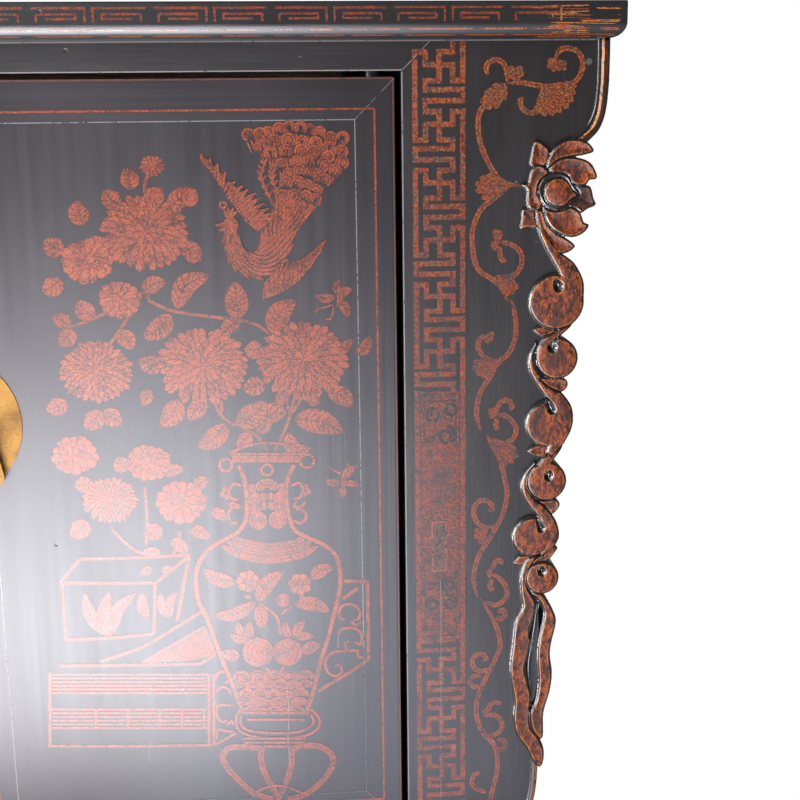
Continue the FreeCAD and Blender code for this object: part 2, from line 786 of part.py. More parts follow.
def wing_ground():
    """The plain board: straight at the post and the top, its outer edge under the beads and the carving."""
    edge_points = [carved(point, 0) for point in bead_path[:-2] + ground_edge + lower_bead_path]
    corner = carved((0, 0), 0)
    heel = carved((0, drawn_wing_height), 0)
    outline = [line(corner, edge_points[0]), curve(edge_points), line(edge_points[-1], heel), line(heel, corner)]
    return Part.Face(Part.Wire(outline)).extrude(Vector(0, wing_thickness, 0))


def wing_tongues():
    return [block(*wing_tongue_ranges()), block(*wing_top_tongue())]


def make_wings():
    carvings = [carved_band(bead_path, bead_width, bead_relief),
                carved_band(lower_bead_path, lower_bead_width, bead_relief),
                carved_band(ribbon_left, ribbon_width, ribbon_relief),
                carved_band(ribbon_right, ribbon_width, ribbon_relief - ribbon_step),
                carved_disc(bud_centre, bud_radius, bud_relief)]
    for order, petal in enumerate(lotus_petal_path):
        carvings.append(carved_leaf(petal, petal_relief + petal_step * order))
    for order, leaf in enumerate(lotus_leaf_path + scroll_leaf_path):
        carvings.append(carved_leaf(leaf, leaf_relief + leaf_step * order))
    carvings += [carved_band(neck, neck_width, neck_relief) for neck in scroll_necks]
    carvings += [carved_disc(centre, radius, scroll_relief) for centre, radius, _, _ in scrolls]
    eyes = []
    eye_cut = scroll_eye_depth + cut_overrun
    for _, _, eye, radius in scrolls:
        start = carved(eye, scroll_relief + cut_overrun)
        eyes.append(Part.makeCylinder(radius * carving_across, eye_cut, start, Vector(0, 1, 0)))

    peg_place = carved((peg_out, peg_down), peg_proud)
    peg = Part.makeCylinder(peg_radius, peg_length, peg_place, Vector(0, 1, 0))
    peg_hole = Part.makeCylinder(peg_radius + running_fit, peg_length, peg_place, Vector(0, 1, 0))

    wing = wing_ground().fuse(carvings).cut(eyes + [peg_hole]).fuse(wing_tongues())
    keep_pair("front_wing", wing)
    plain = wing_ground().fuse(wing_tongues())
    keep_pair("back_wing", plain.mirror(Vector(0, 0, 0), Vector(0, 1, 0)))
    parts["wing_pegs"] = Part.makeCompound(both_sides(peg))


# Doors: mitred frames with flush panels, turning on pintles at the outer stiles

def door_envelope():
    """The door's whole slab with its rounded arrises, which every member is cut from."""
    slab = block((door_meeting, door_outer), (front_face, door_back), (door_bottom, door_top))
    slab = softened(slab, door_hinge_round, lambda at: same(at.x, door_outer) and same(at.y, front_face))

    def front_arris(at):
        level = same(at.z, door_top) or same(at.z, door_bottom)
        in_front = at.y < front_face + door_hinge_round
        return in_front and (level or same(at.x, door_meeting))

    return softened(slab, door_arris, front_arris)


def door_panel_ranges(grow):
    inset = door_member_width - grow
    return (door_meeting + inset, door_outer - inset), (door_bottom + inset, door_top - inset)


def door_rail(bottom, top, inner, envelope, cuts):
    """A rail: mitred in front, square behind, with a tenon into each stile. inner is its panel edge."""
    outer = top if inner == bottom else bottom
    left, right = door_meeting + door_member_width, door_outer - door_member_width
    corners = [(door_meeting, outer), (door_outer, outer), (right, inner), (left, inner)]
    layer = flat([Vector(x, front_face, z) for x, z in corners]).extrude(Vector(0, door_mitre_layer, 0))
    bar = block((left, right), (front_face + door_mitre_layer, door_back), (bottom, top))
    return layer.fuse(bar).common(envelope).fuse(block(*door_tenon(bottom, top))).cut(cuts)


def door_tenon(bottom, top):
    """A door rail's tenons, as one bar from stile to stile."""
    left = door_meeting + door_member_width - door_tenon_length
    right = door_outer - door_member_width + door_tenon_length
    middle = front_face + door_tenon_setback + door_tenon_thickness / 2
    return ((left, right), around(middle, door_tenon_thickness),
            (bottom + door_tenon_inset, top - door_tenon_inset))


def door_stile(x, inner, envelope, cuts):
    """A stile: mitred in front, running through to the door's full height behind. inner is its panel edge."""
    outer = x[0] if inner == x[1] else x[1]
    low, high = door_bottom + door_member_width, door_top - door_member_width
    corners = [(outer, door_bottom), (outer, door_top), (inner, high), (inner, low)]
    layer = flat([Vector(px, front_face, pz) for px, pz in corners]).extrude(Vector(0, door_mitre_layer, 0))
    bar = block(x, (front_face + door_mitre_layer, door_back), (door_bottom, door_top))
    return layer.fuse(bar).common(envelope).cut(cuts)


def door_batten_ranges(level):
    panel_back = front_face + door_panel_thickness
    y = (panel_back, panel_back + door_batten_thickness)
    x = door_panel_ranges(0)[0]
    body = (x, y, around(level, door_batten_width))
    tenon = ((x[0] - door_batten_tenon, x[1] + door_batten_tenon), around(sum(y) / 2, batten_tenon_height),
             around(level, door_batten_width - 2 * batten_shoulder))
    return body, tenon


def shank_hole(x, radius):
    """The hole that a shank goes into, through plate and door."""
    start = Vector(x, front_face - plate_thickness - cut_overrun, plate_level)
    depth = cut_overrun + plate_thickness + shank_depth
    return Part.makeCylinder(radius + running_fit, depth, start, Vector(0, 1, 0))


def door_pieces():
    """The right door's wooden pieces by name."""
    envelope = door_envelope()
    panel_x, panel_z = door_panel_ranges(panel_tongue_length)
    tongue_y = (front_face + panel_lip, front_face + panel_lip + panel_tongue_thickness)
    groove = hollow(panel_x, tongue_y, panel_z, groove_slack)
    seam_x, seam_z = door_panel_ranges(-panel_seam)
    brass_holes = [shank_hole(eye_offset, eye_shank_radius), shank_hole(ring_offset, ring_wire)]
    panel = block(seam_x, (front_face, front_face + door_panel_thickness), seam_z)
    panel = panel.fuse(block(panel_x, tongue_y, panel_z)).cut(brass_holes)

    top_level = (door_top - door_member_width, door_top)
    bottom_level = (door_bottom, door_bottom + door_member_width)
    levels = (door_bottom + door_batten_inset, door_top - door_batten_inset)
    battens = [door_batten_ranges(level) for level in levels]
    mortises = [groove] + brass_holes
    mortises += [hollow(*door_tenon(*level), joint_slack) for level in (top_level, bottom_level)]
    mortises += [hollow(*tenon, joint_slack) for _, tenon in battens]

    hinge_x = (door_outer - door_member_width, door_outer)
    meeting_x = (door_meeting, door_meeting + door_member_width)
    pintle_reach = pintle_length + door_arris
    pintles = [Part.makeCylinder(pintle_radius, pintle_reach, Vector(pivot_x, pivot_y, low))
               for low in (door_top - door_arris, door_bottom - pintle_length)]
    return {
        "hinge_stile": door_stile(hinge_x, hinge_x[0], envelope, mortises).fuse(pintles),
        "meeting_stile": door_stile(meeting_x, meeting_x[1], envelope, mortises),
        "top_rail": door_rail(*top_level, top_level[0], envelope, [groove]),
        "bottom_rail": door_rail(*bottom_level, bottom_level[1], envelope, [groove]),
        "panel": panel,
        "battens": Part.makeCompound([block(*body).fuse(block(*tenon)) for body, tenon in battens]),
    }


# Brass: a round plate in two halves, an eye for the lock and a ring with a pull on each half

def brass_pieces():
    plate_y = front_face - plate_thickness
    disc_centre = Vector(0, front_face, plate_level)
    disc = Part.makeCylinder(plate_radius, plate_thickness, disc_centre, Vector(0, -1, 0))
    half = block((door_meeting, plate_radius), (plate_y, front_face), around(plate_level, 2 * plate_radius))
    shank_holes = [shank_hole(eye_offset, eye_shank_radius), shank_hole(ring_offset, ring_wire)]
    plate = disc.common(half).cut(shank_holes)

    # The eye: a flat tongue with a bore across it, on a round shank
    eye_centre_y = plate_y - (eye_reach - eye_radius)
    eye_x = eye_offset - eye_thickness / 2
    boss_start = Vector(eye_x, eye_centre_y, plate_level)
    boss = Part.makeCylinder(eye_radius, eye_thickness, boss_start, Vector(1, 0, 0))
    neck = block((eye_x, eye_x + eye_thickness), (eye_centre_y, plate_y), around(plate_level, 2 * eye_radius))
    bore_start = Vector(eye_x - cut_overrun, eye_centre_y, plate_level)
    bore = Part.makeCylinder(eye_bore, eye_thickness + 2 * cut_overrun, bore_start, Vector(1, 0, 0))
    shank_start = Vector(eye_offset, plate_y, plate_level)
    shank = Part.makeCylinder(eye_shank_radius, plate_thickness + shank_depth, shank_start, Vector(0, 1, 0))
    in_front = block(around(eye_offset, eye_thickness), (plate_y - eye_reach, plate_y),
                     around(plate_level, 2 * eye_radius))
    eye = boss.fuse(neck).common(in_front).cut(bore).fuse(shank)

    # The ring stands square to the door, on its own shank
    ring_y = plate_y - ring_stand_off
    ring = Part.makeTorus(ring_radius, ring_wire, Vector(ring_offset, ring_y, plate_level), Vector(1, 0, 0))
    stem = Part.makeCylinder(ring_wire, ring_stand_off - ring_radius + plate_thickness + shank_depth,
                             Vector(ring_offset, ring_y + ring_radius, plate_level), Vector(0, 1, 0))
    ring_and_eye = Part.makeCompound([eye, ring.fuse(stem)])
    return {"lock_plate": plate, "ring_and_eye": ring_and_eye, "pull": pull_piece(ring_y)}


def pull_piece(ring_y):
    """A flat drop with a narrow neck, threaded on the ring by the hole at its top."""
    hole_radius = ring_wire + pull_hole_clearance
    hole_z = plate_level - ring_radius
    neck_half = hole_radius + pull_neck
    foot = hole_z - pull_length
    half = pull_width / 2
    y = ring_y - pull_thickness / 2

    def at(out, z):
        return Vector(ring_offset + out, y, z)

    waist = hole_z - neck_half
    belly = foot + half
    edges = [
        arc(at(-neck_half, hole_z), at(0, hole_z + neck_half), at(neck_half, hole_z)),
        line(at(neck_half, hole_z), at(neck_half, waist)),
        line(at(neck_half, waist), at(half, belly)),
        arc(at(half, belly), at(0, foot), at(-half, belly)),
        line(at(-half, belly), at(-neck_half, waist)),
        line(at(-neck_half, waist), at(-neck_half, hole_z)),
    ]
    drop = Part.Face(Part.Wire(edges)).extrude(Vector(0, pull_thickness, 0))
    hole_start = Vector(ring_offset, y - cut_overrun, hole_z)
    hole = Part.makeCylinder(hole_radius, pull_thickness + 2 * cut_overrun, hole_start, Vector(0, 1, 0))
    return drop.cut(hole)


def make_doors():
    for name, shape in {**door_pieces(), **brass_pieces()}.items():
        parts["right_door_" + name] = shape
        parts["left_door_" + name] = mirrored(shape)


# Stops behind the doors, under the top rail and on the bottom rail

def make_stops():
    x = (stop_end_gap - door_outer, door_outer - stop_end_gap)
    y = (door_back + stop_clearance, door_back + stop_clearance + stop_depth)
    parts["door_stop_top"] = block(x, y, (opening_top - stop_height, opening_top))
    parts["door_stop_bottom"] = block(x, y, (opening_bottom, opening_bottom + stop_height))


make_top()
make_posts()
make_front_rails()
make_back()
make_sides()
make_floor()
make_shelf()
make_aprons()
make_wings()
make_doors()
make_stops()

os.makedirs("parts", exist_ok=True)
for name, shape in parts.items():
    shape.exportStep(f"parts/{name}.step")
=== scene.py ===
import math

import bpy
import numpy as np
from mathutils import Matrix, Vector


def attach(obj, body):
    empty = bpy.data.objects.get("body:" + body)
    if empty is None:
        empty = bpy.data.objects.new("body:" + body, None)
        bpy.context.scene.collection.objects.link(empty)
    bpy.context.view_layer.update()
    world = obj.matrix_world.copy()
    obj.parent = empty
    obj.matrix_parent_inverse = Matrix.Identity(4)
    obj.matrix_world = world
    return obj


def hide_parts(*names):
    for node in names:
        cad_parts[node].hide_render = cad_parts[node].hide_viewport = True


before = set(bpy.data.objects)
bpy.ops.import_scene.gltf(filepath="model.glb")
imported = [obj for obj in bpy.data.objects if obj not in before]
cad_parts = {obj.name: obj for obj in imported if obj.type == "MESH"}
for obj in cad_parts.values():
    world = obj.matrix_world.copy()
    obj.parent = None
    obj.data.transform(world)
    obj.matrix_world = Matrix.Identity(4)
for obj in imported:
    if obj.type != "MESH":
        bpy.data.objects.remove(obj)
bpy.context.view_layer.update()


# Posts and rails: square hardwood members, tenoned and mitred together, under many thin coats of
# black lacquer rubbed to a satin gloss. Brush streaks follow the grain; handling has left dull
# smears, small pits and a few rubbed brown spots.

class Wire:
    """A shader value on its way between nodes. Sums of wires and numbers make Math nodes."""

    def __init__(self, tree, socket=None):
        self.tree = tree
        self.socket = socket

    def node(self, kind, settings, sockets, output=0):
        """Adds any other node: its settings first, then its sockets by name or number."""
        made = self.tree.nodes.new(kind)
        for name, value in settings.items():
            setattr(made, name, value)
        for key, value in sockets.items():
            if isinstance(value, Wire):
                self.tree.links.new(value.socket, made.inputs[key])
            else:
                made.inputs[key].default_value = value
        if made.outputs:
            return Wire(self.tree, made.outputs[output])

    def sum(self, operation, *values):
        return self.node("ShaderNodeMath", {"operation": operation}, dict(enumerate(values)))

    def __add__(self, other):
        return self.sum("ADD", self, other)

    def __sub__(self, other):
        return self.sum("SUBTRACT", self, other)

    def __rsub__(self, other):
        return self.sum("SUBTRACT", other, self)

    def __mul__(self, other):
        return self.sum("MULTIPLY", self, other)

    def __truediv__(self, other):
        return self.sum("DIVIDE", self, other)

    def __mod__(self, other):
        return self.sum("FLOORED_MODULO", self, other)

    def __abs__(self):
        return self.sum("ABSOLUTE", self)

    __radd__ = __add__
    __rmul__ = __mul__


def larger(one, other):
    """The larger of two wires."""
    return one.sum("MAXIMUM", one, other)


def ease(wire, low, high):
    """0 up to low, 1 from high on, a smooth step between."""
    return wire.node("ShaderNodeMapRange", {"interpolation_type": "SMOOTHSTEP"}, {0: wire, 1: low, 2: high})


def blend(share, one, other):
    """A colour: one where share is 0, other where it is 1."""
    return share.node("ShaderNodeMix", {"data_type": "RGBA"}, {0: share, 6: one, 7: other}, 2)


def tint(red, green, blue):
    """A display colour, each channel 0 to 255, as linear light."""
    shares = np.array((red, green, blue)) / 255
    linear = np.where(shares <= 0.04045, shares / 12.92, ((shares + 0.055) / 1.055) ** 2.4)
    return (*linear, 1.0)


def noise(place, size, stretch=(1, 1, 1), detail=3.0):
    """Cloudy noise from 0 to 1 whose blobs are about size millimetres, drawn out by stretch."""
    at = place.node("ShaderNodeVectorMath", {"operation": "DIVIDE"}, {0: place, 1: stretch})
    return place.node("ShaderNodeTexNoise", {}, {"Vector": at, "Scale": 1000 / size, "Detail": detail})


def spots(place, spacing, radius):
    """1 inside scattered round spots, 0 outside; spacing in millimetres, radius as a share of it."""
    cells = {"Vector": place, "Scale": 1000 / spacing}
    return 1 - ease(place.node("ShaderNodeTexVoronoi", {}, cells), radius * 0.4, radius)


def new_surface(name):
    """A new material, and a wire with the place on the object in metres."""
    material = bpy.data.materials.new(name)
    material.use_nodes = True
    material.node_tree.nodes.clear()
    return material, Wire(material.node_tree).node("ShaderNodeTexCoord", {}, {}, "Object")


def shaded(place, height, depth, sockets):
    """Ends a material: a Principled surface with these sockets, bumped by a height of depth metres."""
    bump = place.node("ShaderNodeBump", {}, {"Height": height, "Distance": depth})
    surface = place.node("ShaderNodeBsdfPrincipled", {}, {**sockets, "Normal": bump}, "BSDF")
    place.node("ShaderNodeOutputMaterial", {}, {"Surface": surface})


ink_black = tint(27, 20, 22)
faded_black = tint(31, 28, 29)
under_coat = tint(92, 50, 36)


def lacquer(name, grain, rubbed=0.72):
    """Black lacquer with its streaks along one axis; rubbed is the noise level where brown shows."""
    material, place = new_surface(name)
    along = tuple(20.0 if axis == grain else 1.0 for axis in "XYZ")
    smear_along = tuple(5.0 if axis == grain else 1.0 for axis in "XYZ")
    streaks = noise(place, 2.4, along)
    smears = noise(place, 24, smear_along)
    patches = noise(place, 140)
    chips = ease(noise(place, 8, detail=6.0), rubbed, rubbed + 0.05)
    dents = spots(place, 55, 0.045)
    colour = blend(ease(patches, 0.3, 0.7), ink_black, faded_black)
    colour = blend(chips * 0.7, colour, under_coat)
    height = 0.5 * streaks + 0.8 * smears - 0.6 * chips - 1.5 * dents
    roughness = 0.26 + 0.14 * smears + 0.06 * streaks + 0.12 * chips
    shaded(place, height, 0.00016, {"Base Color": colour, "Roughness": roughness})
    return material


def coat(material, *names):
    """Gives CAD pieces their finish."""
    for name in names:
        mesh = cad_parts[name].data
        mesh.materials.clear()
        mesh.materials.append(material)


lacquer_up = lacquer("lacquer_up", "Z")
lacquer_across = lacquer("lacquer_across", "X")
lacquer_back = lacquer("lacquer_back", "Y")
coat(lacquer_up, "front_post_left", "front_post_right", "side_panel_left", "side_panel_right")
coat(lacquer_across, "front_top_rail", "front_bottom_rail", "front_apron")
for side in ("left", "right"):
    coat(lacquer_back, f"side_top_rail_{side}", f"side_bottom_rail_{side}", f"side_apron_{side}")


# Fret on the front posts: strips of squared fret painted in cinnabar with a flat brush, broken at
# half height by a panel of small scrolls over the shelf bearer's tenon, which shows through the post.

def smooth(points, count):
    """A curve through points: cubic Hermite pieces whose slopes are the neighbours' differences."""
    points = np.asarray(points, float)
    slopes = np.gradient(points, axis=0)
    place = np.linspace(0, len(points) - 1, count)
    start = np.minimum(place.astype(int), len(points) - 2)
    t = (place - start)[:, None]
    ends = (2 * t**3 - 3 * t**2 + 1) * points[start] + (3 * t**2 - 2 * t**3) * points[start + 1]
    return ends + (t**3 - 2 * t**2 + t) * slopes[start] + (t**3 - t**2) * slopes[start + 1]


def arc(centre, radius, start, end, count=13):
    """Points on an arc from one angle to another, in degrees anticlockwise from the right."""
    turn = np.radians(np.linspace(start, end, count))
    return np.stack([centre[0] + radius * np.cos(turn), centre[1] + radius * np.sin(turn)], 1)


def spiral(centre, radius, start, turns, count=21):
    """Points on a spiral that winds in from a radius to a third of it, turns positive anticlockwise."""
    turn = np.radians(start) + 2 * np.pi * turns * np.linspace(0, 1, count)
    reach = radius * np.linspace(1, 0.33, count)
    return np.stack([centre[0] + reach * np.cos(turn), centre[1] + reach * np.sin(turn)], 1)


# How a stroke's half width runs from its start (0) to its end (1)
brush_shapes = {
    "even": lambda u: np.ones_like(u),
    "brush": lambda u: np.sqrt(np.clip(9 * np.minimum(u, 1 - u), 0.02, 1)),
    "leaf": lambda u: np.maximum(np.sin(np.pi * u**0.85), 0.005) ** 0.65,
    "feather": lambda u: np.maximum(np.sin(np.pi * u**0.8), 0.02),
    "petal": lambda u: np.maximum(u**0.6 * np.sqrt(np.maximum(1 - u**6, 0)), 0.03),
    "drop": lambda u: np.maximum(np.sqrt(np.maximum(u * (1 - u), 0)) * 2, 0.03),
}
film_ring = np.array(((-1, -1), (-1, 1), (1, 1), (1, -1)))
# A paint film's height in millimetres, what each layer adds to it, how much it rises from its stroke's
# start to its end, and how far it goes into the wood; strokes in one layer lie at different shares of it
film_height = 0.12
film_layer = 0.02
film_rise = 0.012
film_sunk = 0.2
golden_share = 0.618
front_plane = -210.0


def flat_front(points):
    """Puts (x, z) points, in millimetres, on the plane of doors, posts and wings, with its normal."""
    around = points.shape[:-1]
    place = np.stack([points[..., 0], np.full(around, front_plane), points[..., 1]], -1)
    return place, np.broadcast_to((0.0, -1.0, 0.0), place.shape)


class Brushwork:
    """Strokes gathered into one closed piece. Each is a path with a width, and has a flat section, a ring
    of (across, height), carried along it. Points are (x, z) in millimetres, seen from the front."""

    def __init__(self):
        self.corners = []
        self.quads = []
        self.ends = []
        self.strokes = []
        self.marks = []
        self.size = 0

    def stroke(self, points, half_width, shape="brush", tone=0.0, veins=0.0, rib=0.0, layer=0, count=13,
               face=flat_front):
        """Corner (i, j) is path point i, plus ring j's share of the half width across and of the film's
        height along the face's normal. A film rises a hair along its stroke, so that it may cross itself,
        and lies a hair higher or lower than the others."""
        path = smooth(points, count)
        step = np.gradient(path, axis=0)
        step /= np.maximum(np.linalg.norm(step, axis=1, keepdims=True), 1e-9)
        across = np.stack([-step[:, 1], step[:, 0]], 1)
        u = np.linspace(0, 1, count)
        width = half_width * brush_shapes[shape](u)
        offset = width[:, None] * film_ring[:, 0]
        place, normal = face(path[:, None] + across[:, None] * offset[..., None])
        stacked = film_height + film_layer * (layer + 0.9 * (golden_share * len(self.quads) % 1))
        lift = np.where(film_ring[:, 1] > 0, stacked + film_rise * u[:, None], -film_sunk)
        self.add(place + normal * lift[..., None], u, offset, width, (veins, rib, tone))

    def add(self, grid, u, offset, width, marks):
        """Files a closed tube of corners, grid[i, j], with flat ends; marked with u along it, millimetres
        across it, its half width, and three marks of its own."""
        count, around = grid.shape[:2]
        row = around * np.arange(count - 1)[:, None]
        column = np.arange(around)[None]
        after = (column + 1) % around
        next_row = row + around
        quads = np.stack([row + column, next_row + column, next_row + after, row + after], -1)
        self.quads.append(quads.reshape(-1, 4) + self.size)
        first = np.arange(around)
        last = (count - 1) * around + first[::-1]
        self.ends.append(np.stack([first, last]) + self.size)
        self.corners.append(grid.reshape(-1, 3))
        along = np.broadcast_to(u[:, None], (count, around))
        wide = np.broadcast_to(width[:, None], (count, around))
        self.strokes.append(np.stack([along, offset, wide], -1).reshape(-1, 3))
        self.marks.append(np.tile(marks, (count * around, 1)))
        self.size += count * around

    def dry(self, name, bodies, material):
        """Makes the right-hand piece and its left-hand mirror image, each on its CAD body."""
        faces = [np.concatenate(self.quads), np.concatenate(self.ends)]
        marks = {"stroke": np.concatenate(self.strokes), "mark": np.concatenate(self.marks)}
        corners = np.concatenate(self.corners)
        return mirrored_pair(name, corners, faces, marks, bodies, material, False)


def mirrored_pair(name, corners, faces, marks, bodies, material, smooth_faces):
    """The right-hand piece, its corners in millimetres, and its mirror image at the left."""
    pair = []
    for side, body, hand in zip(("right", "left"), bodies, (1, -1)):
        placed = corners * (hand, 1, 1) / 1000
        turned = [face[:, ::hand] for face in faces]
        sided = f"{name}_{side}"
        pair.append(closed_piece(sided, placed, turned, marks, body, material, smooth_faces))
    return pair


def closed_piece(name, corners, faces, marks, body, material, smooth_faces):
    """A new piece from its corners in metres and arrays of faces, with vector marks per corner."""
    mesh = bpy.data.meshes.new(name)
    mesh.vertices.add(len(corners))
    mesh.vertices.foreach_set("co", np.ascontiguousarray(corners, np.float32).ravel())
    loops = np.concatenate([face.ravel() for face in faces])
    totals = np.concatenate([np.full(len(face), face.shape[1]) for face in faces])
    mesh.loops.add(len(loops))
    mesh.loops.foreach_set("vertex_index", loops.astype(np.int32))
    mesh.polygons.add(len(totals))
    mesh.polygons.foreach_set("loop_start", (np.cumsum(totals) - totals).astype(np.int32))
    mesh.update(calc_edges=True)
    if smooth_faces:
        mesh.shade_smooth()
    else:
        mesh.shade_flat()
    for mark, values in marks.items():
        attribute = mesh.attributes.new(mark, "FLOAT_VECTOR", "POINT")
        attribute.data.foreach_set("vector", np.ascontiguousarray(values, np.float32).ravel())
    mesh.materials.append(material)
    piece = bpy.data.objects.new(name, mesh)
    bpy.context.scene.collection.objects.link(piece)
    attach(piece, body)
    return piece


cinnabar_dark = tint(92, 33, 18)
cinnabar = tint(150, 56, 18)
cinnabar_light = tint(192, 86, 26)
worn_gold = tint(202, 128, 42)


def read_marks(place, name):
    """The three parts of one of a piece's own marks."""
    vector = place.node("ShaderNodeAttribute", {"attribute_name": name}, {}, "Vector")
    return [place.node("ShaderNodeSeparateXYZ", {}, {0: vector}, part) for part in range(3)]


def brush_paint(name, wear, outline, fleck, swirl=1.2, gilding=0.0):
    """Cinnabar lacquer paint: mottled red, more finely as fleck nears 1, and golden where tone is high;
    dark along a broad stroke's edges for a width of outline millimetres, along its rib and its slanting
    veins, which swirl with the noise; worn to black specks where the noise passes wear; and flecked with
    gold, by gilding, toward the top."""
    material, place = new_surface(name)
    u, across, width = read_marks(place, "stroke")
    veins, rib, tone = read_marks(place, "mark")
    out = abs(across)
    clouds = noise(place, 9, detail=5.0)
    flecks = noise(place, 2.6, detail=5.0)
    grit = noise(place, 1.3, detail=4.0)
    mottle = fleck * flecks + (1 - fleck) * clouds
    colour = blend(ease(mottle, 0.38, 0.60), cinnabar_dark, cinnabar)
    colour = blend(ease(grit + 0.4 * tone, 0.46, 0.70), colour, cinnabar_light)
    colour = blend(ease(tone + 0.5 * clouds, 0.45, 1.0), colour, worn_gold)
    upper = ease(place.node("ShaderNodeSeparateXYZ", {}, {0: place}, 2), 0.60, 0.92)
    colour = blend(gilding * upper * ease(flecks + 0.4 * clouds, 0.62, 0.84), colour, worn_gold)
    slant = (u * veins - 1.3 * out / larger(width, 0.01) + swirl * clouds) % 1.0
    vein_lines = (1 - ease(abs(slant - 0.5), 0.05, 0.14)) * ease(veins, 0.5, 0.6) * ease(grit, 0.3, 0.42)
    rib_line = (1 - ease(out, 0.2, 0.55)) * rib
    inside = width - out - outline * ease(width, 0.3, 2.4) + fleck * (flecks - 0.5)
    drawn = larger(larger(vein_lines, rib_line), 1 - ease(inside, -0.15, 0.2))
    worn = ease(grit + 0.45 * clouds, wear, wear + 0.07)
    colour = blend(larger(drawn * 0.9, worn), colour, ink_black)
    roughness = 0.28 + 0.12 * clouds + 0.06 * worn
    shaded(place, grit + clouds - 0.8 * worn, 0.00006, {"Base Color": colour, "Roughness": roughness})
    return material


post_paint = brush_paint("post_paint", 0.76, 0.05, 0.9, gilding=0.45)
fret_columns = np.array((438.9, 448.4, 461.0, 473.4, 482.6))
fret_levels = {
    "bar": 0.0, "return": 9.7, "turn": 19.4, "arm": 30.6, "foot": 44.6, "next": 52.5, "next foot": 97.1,
}
fret_half_width = 2.55
# Half of the fret's repeat, in columns and levels down: one line that snakes down the strip, and the two
# arms of the hooked cross it makes; the other half is the same with its columns counted from the right
fret_chains = (
    ((1, "bar"), (4, "bar"), (4, "return"), (1, "return"), (1, "turn"), (2, "turn"), (2, "foot"),
     (3, "foot"), (3, "next")),
    ((2, "arm"), (1, "arm"), (1, "foot"), (0, "foot")),
    ((2, "arm"), (3, "arm"), (3, "turn"), (4, "turn"), (4, "next foot")),
)
# Hands have rubbed the fret to gold round this level, up to this far away
rubbed_level = 905
rubbed_reach = 30


def fret_strip(work, first, top, bottom):
    """Repeats the fret down a post from a first level, keeping what lies between top and bottom."""
    halves = int((first - bottom) / fret_levels["next"]) + 1
    for half in range(halves):
        for chain in fret_chains:
            places = []
            for column, level in chain:
                column = len(fret_columns) - 1 - column if half % 2 else column
                height = first - half * fret_levels["next"] - fret_levels[level]
                places.append((fret_columns[column], min(max(height, bottom), top)))
            for (x, z), (far_x, far_z) in zip(places, places[1:]):
                fret_side(work, x, z, far_x, far_z, top, bottom)


def fret_side(work, x, z, far_x, far_z, top, bottom):
    """One straight side of the fret, lapped over its corners, unless it lies on an end of the strip."""
    reach = math.hypot(far_x - x, far_z - z)
    if reach < fret_half_width or z == far_z in (top, bottom):
        return
    lap = 0.9 * fret_half_width / reach
    start = (x - (far_x - x) * lap, z - (far_z - z) * lap)
    end = (far_x + (far_x - x) * lap, far_z + (far_z - z) * lap)
    gilt = 0.2 * max(0.0, 1 - abs(z - rubbed_level) / rubbed_reach)
    work.stroke((start, end), fret_half_width, "even", tone=gilt + 0.15 * math.sin(x + z), count=5)


on_carcass = ("carcass", "carcass")
post_top, panel_top, panel_foot, post_foot = 919, 601, 347, 150
upper_fret_start, lower_fret_start = 984.1, 399.1
posts_painted = Brushwork()
fret_strip(posts_painted, upper_fret_start, post_top, panel_top)
fret_strip(posts_painted, lower_fret_start, panel_foot, post_foot)
for x in (fret_columns[0], fret_columns[-1]):
    posts_painted.stroke(((x, panel_top), (x, panel_foot)), 2.6, "even", count=9)
posts_painted.dry("post_fret", on_carcass, post_paint)

# The scroll panel between the frets: a worn red field, combed in fine swirling lines, in a thin dark frame,
# with a few black cloud scrolls over it and a fan of petals round one of them
field_paint = brush_paint("field_paint", 0.74, 0.0, 1.0, 5.0)
field_middle, field_half_width = 460.7, 18.6
field_ends = ((field_middle, panel_top - 1), (field_middle, panel_foot + 1))
panel_field = Brushwork()
panel_field.stroke(field_ends, field_half_width, "even", veins=80.0, count=25)
panel_field.dry("scroll_field", on_carcass, field_paint)
scroll_ink = lacquer("scroll_ink", "Z", 0.60)
ink_left, ink_right = 445.2, 476.0
upright_ends = ((590, 548), (420, 352))
cross_levels = (597, 590, 352)
panel_scrolls = Brushwork()
for x in (ink_left, ink_right):
    for top, bottom in upright_ends:
        panel_scrolls.stroke(((x, top), (x, bottom)), 0.5, "even", layer=4, count=9)
for level in cross_levels:
    panel_scrolls.stroke(((ink_left, level), (ink_right, level)), 0.6, "even", layer=4, count=7)
# Cloud scrolls: middle, radius, the angle where they start, turns
cloud_scrolls = (
    ((454.5, 576), 8.0, 60, 1.4), ((470.5, 581), 7.0, 130, -1.3), ((467, 556), 9.5, 100, -1.5),
    ((468.5, 405), 8.0, 60, 1.6), ((453, 386), 7.5, 80, 1.4), ((470, 386), 7.5, 100, -1.4),
    ((451, 405), 4.5, 200, 1.2), ((452, 552), 4.5, 20, 1.2),
)
for middle, radius, start, turns in cloud_scrolls:
    panel_scrolls.stroke(spiral(middle, radius, start, turns), 0.17 * radius, layer=5, count=25)
petals_middle = np.array((468.5, 405))
petals_inner, petals_outer = 9.5, 13.0
for turn in np.radians(np.arange(20, 380, 30)):
    toward = np.array((math.cos(turn), math.sin(turn)))
    petal = (petals_middle + petals_inner * toward, petals_middle + petals_outer * toward)
    panel_scrolls.stroke(petal, 0.9, "leaf", layer=5, count=7)
panel_scrolls.dry("scroll_lines", on_carcass, scroll_ink)


# Top: a mitred frame round a flush panel, its edge moulded with a small arris above and a long round
# below. A key fret with two thin lines under it is painted along the edge, and has rubbed through to
# gold streaks at the ends, where hands and chairs catch it.

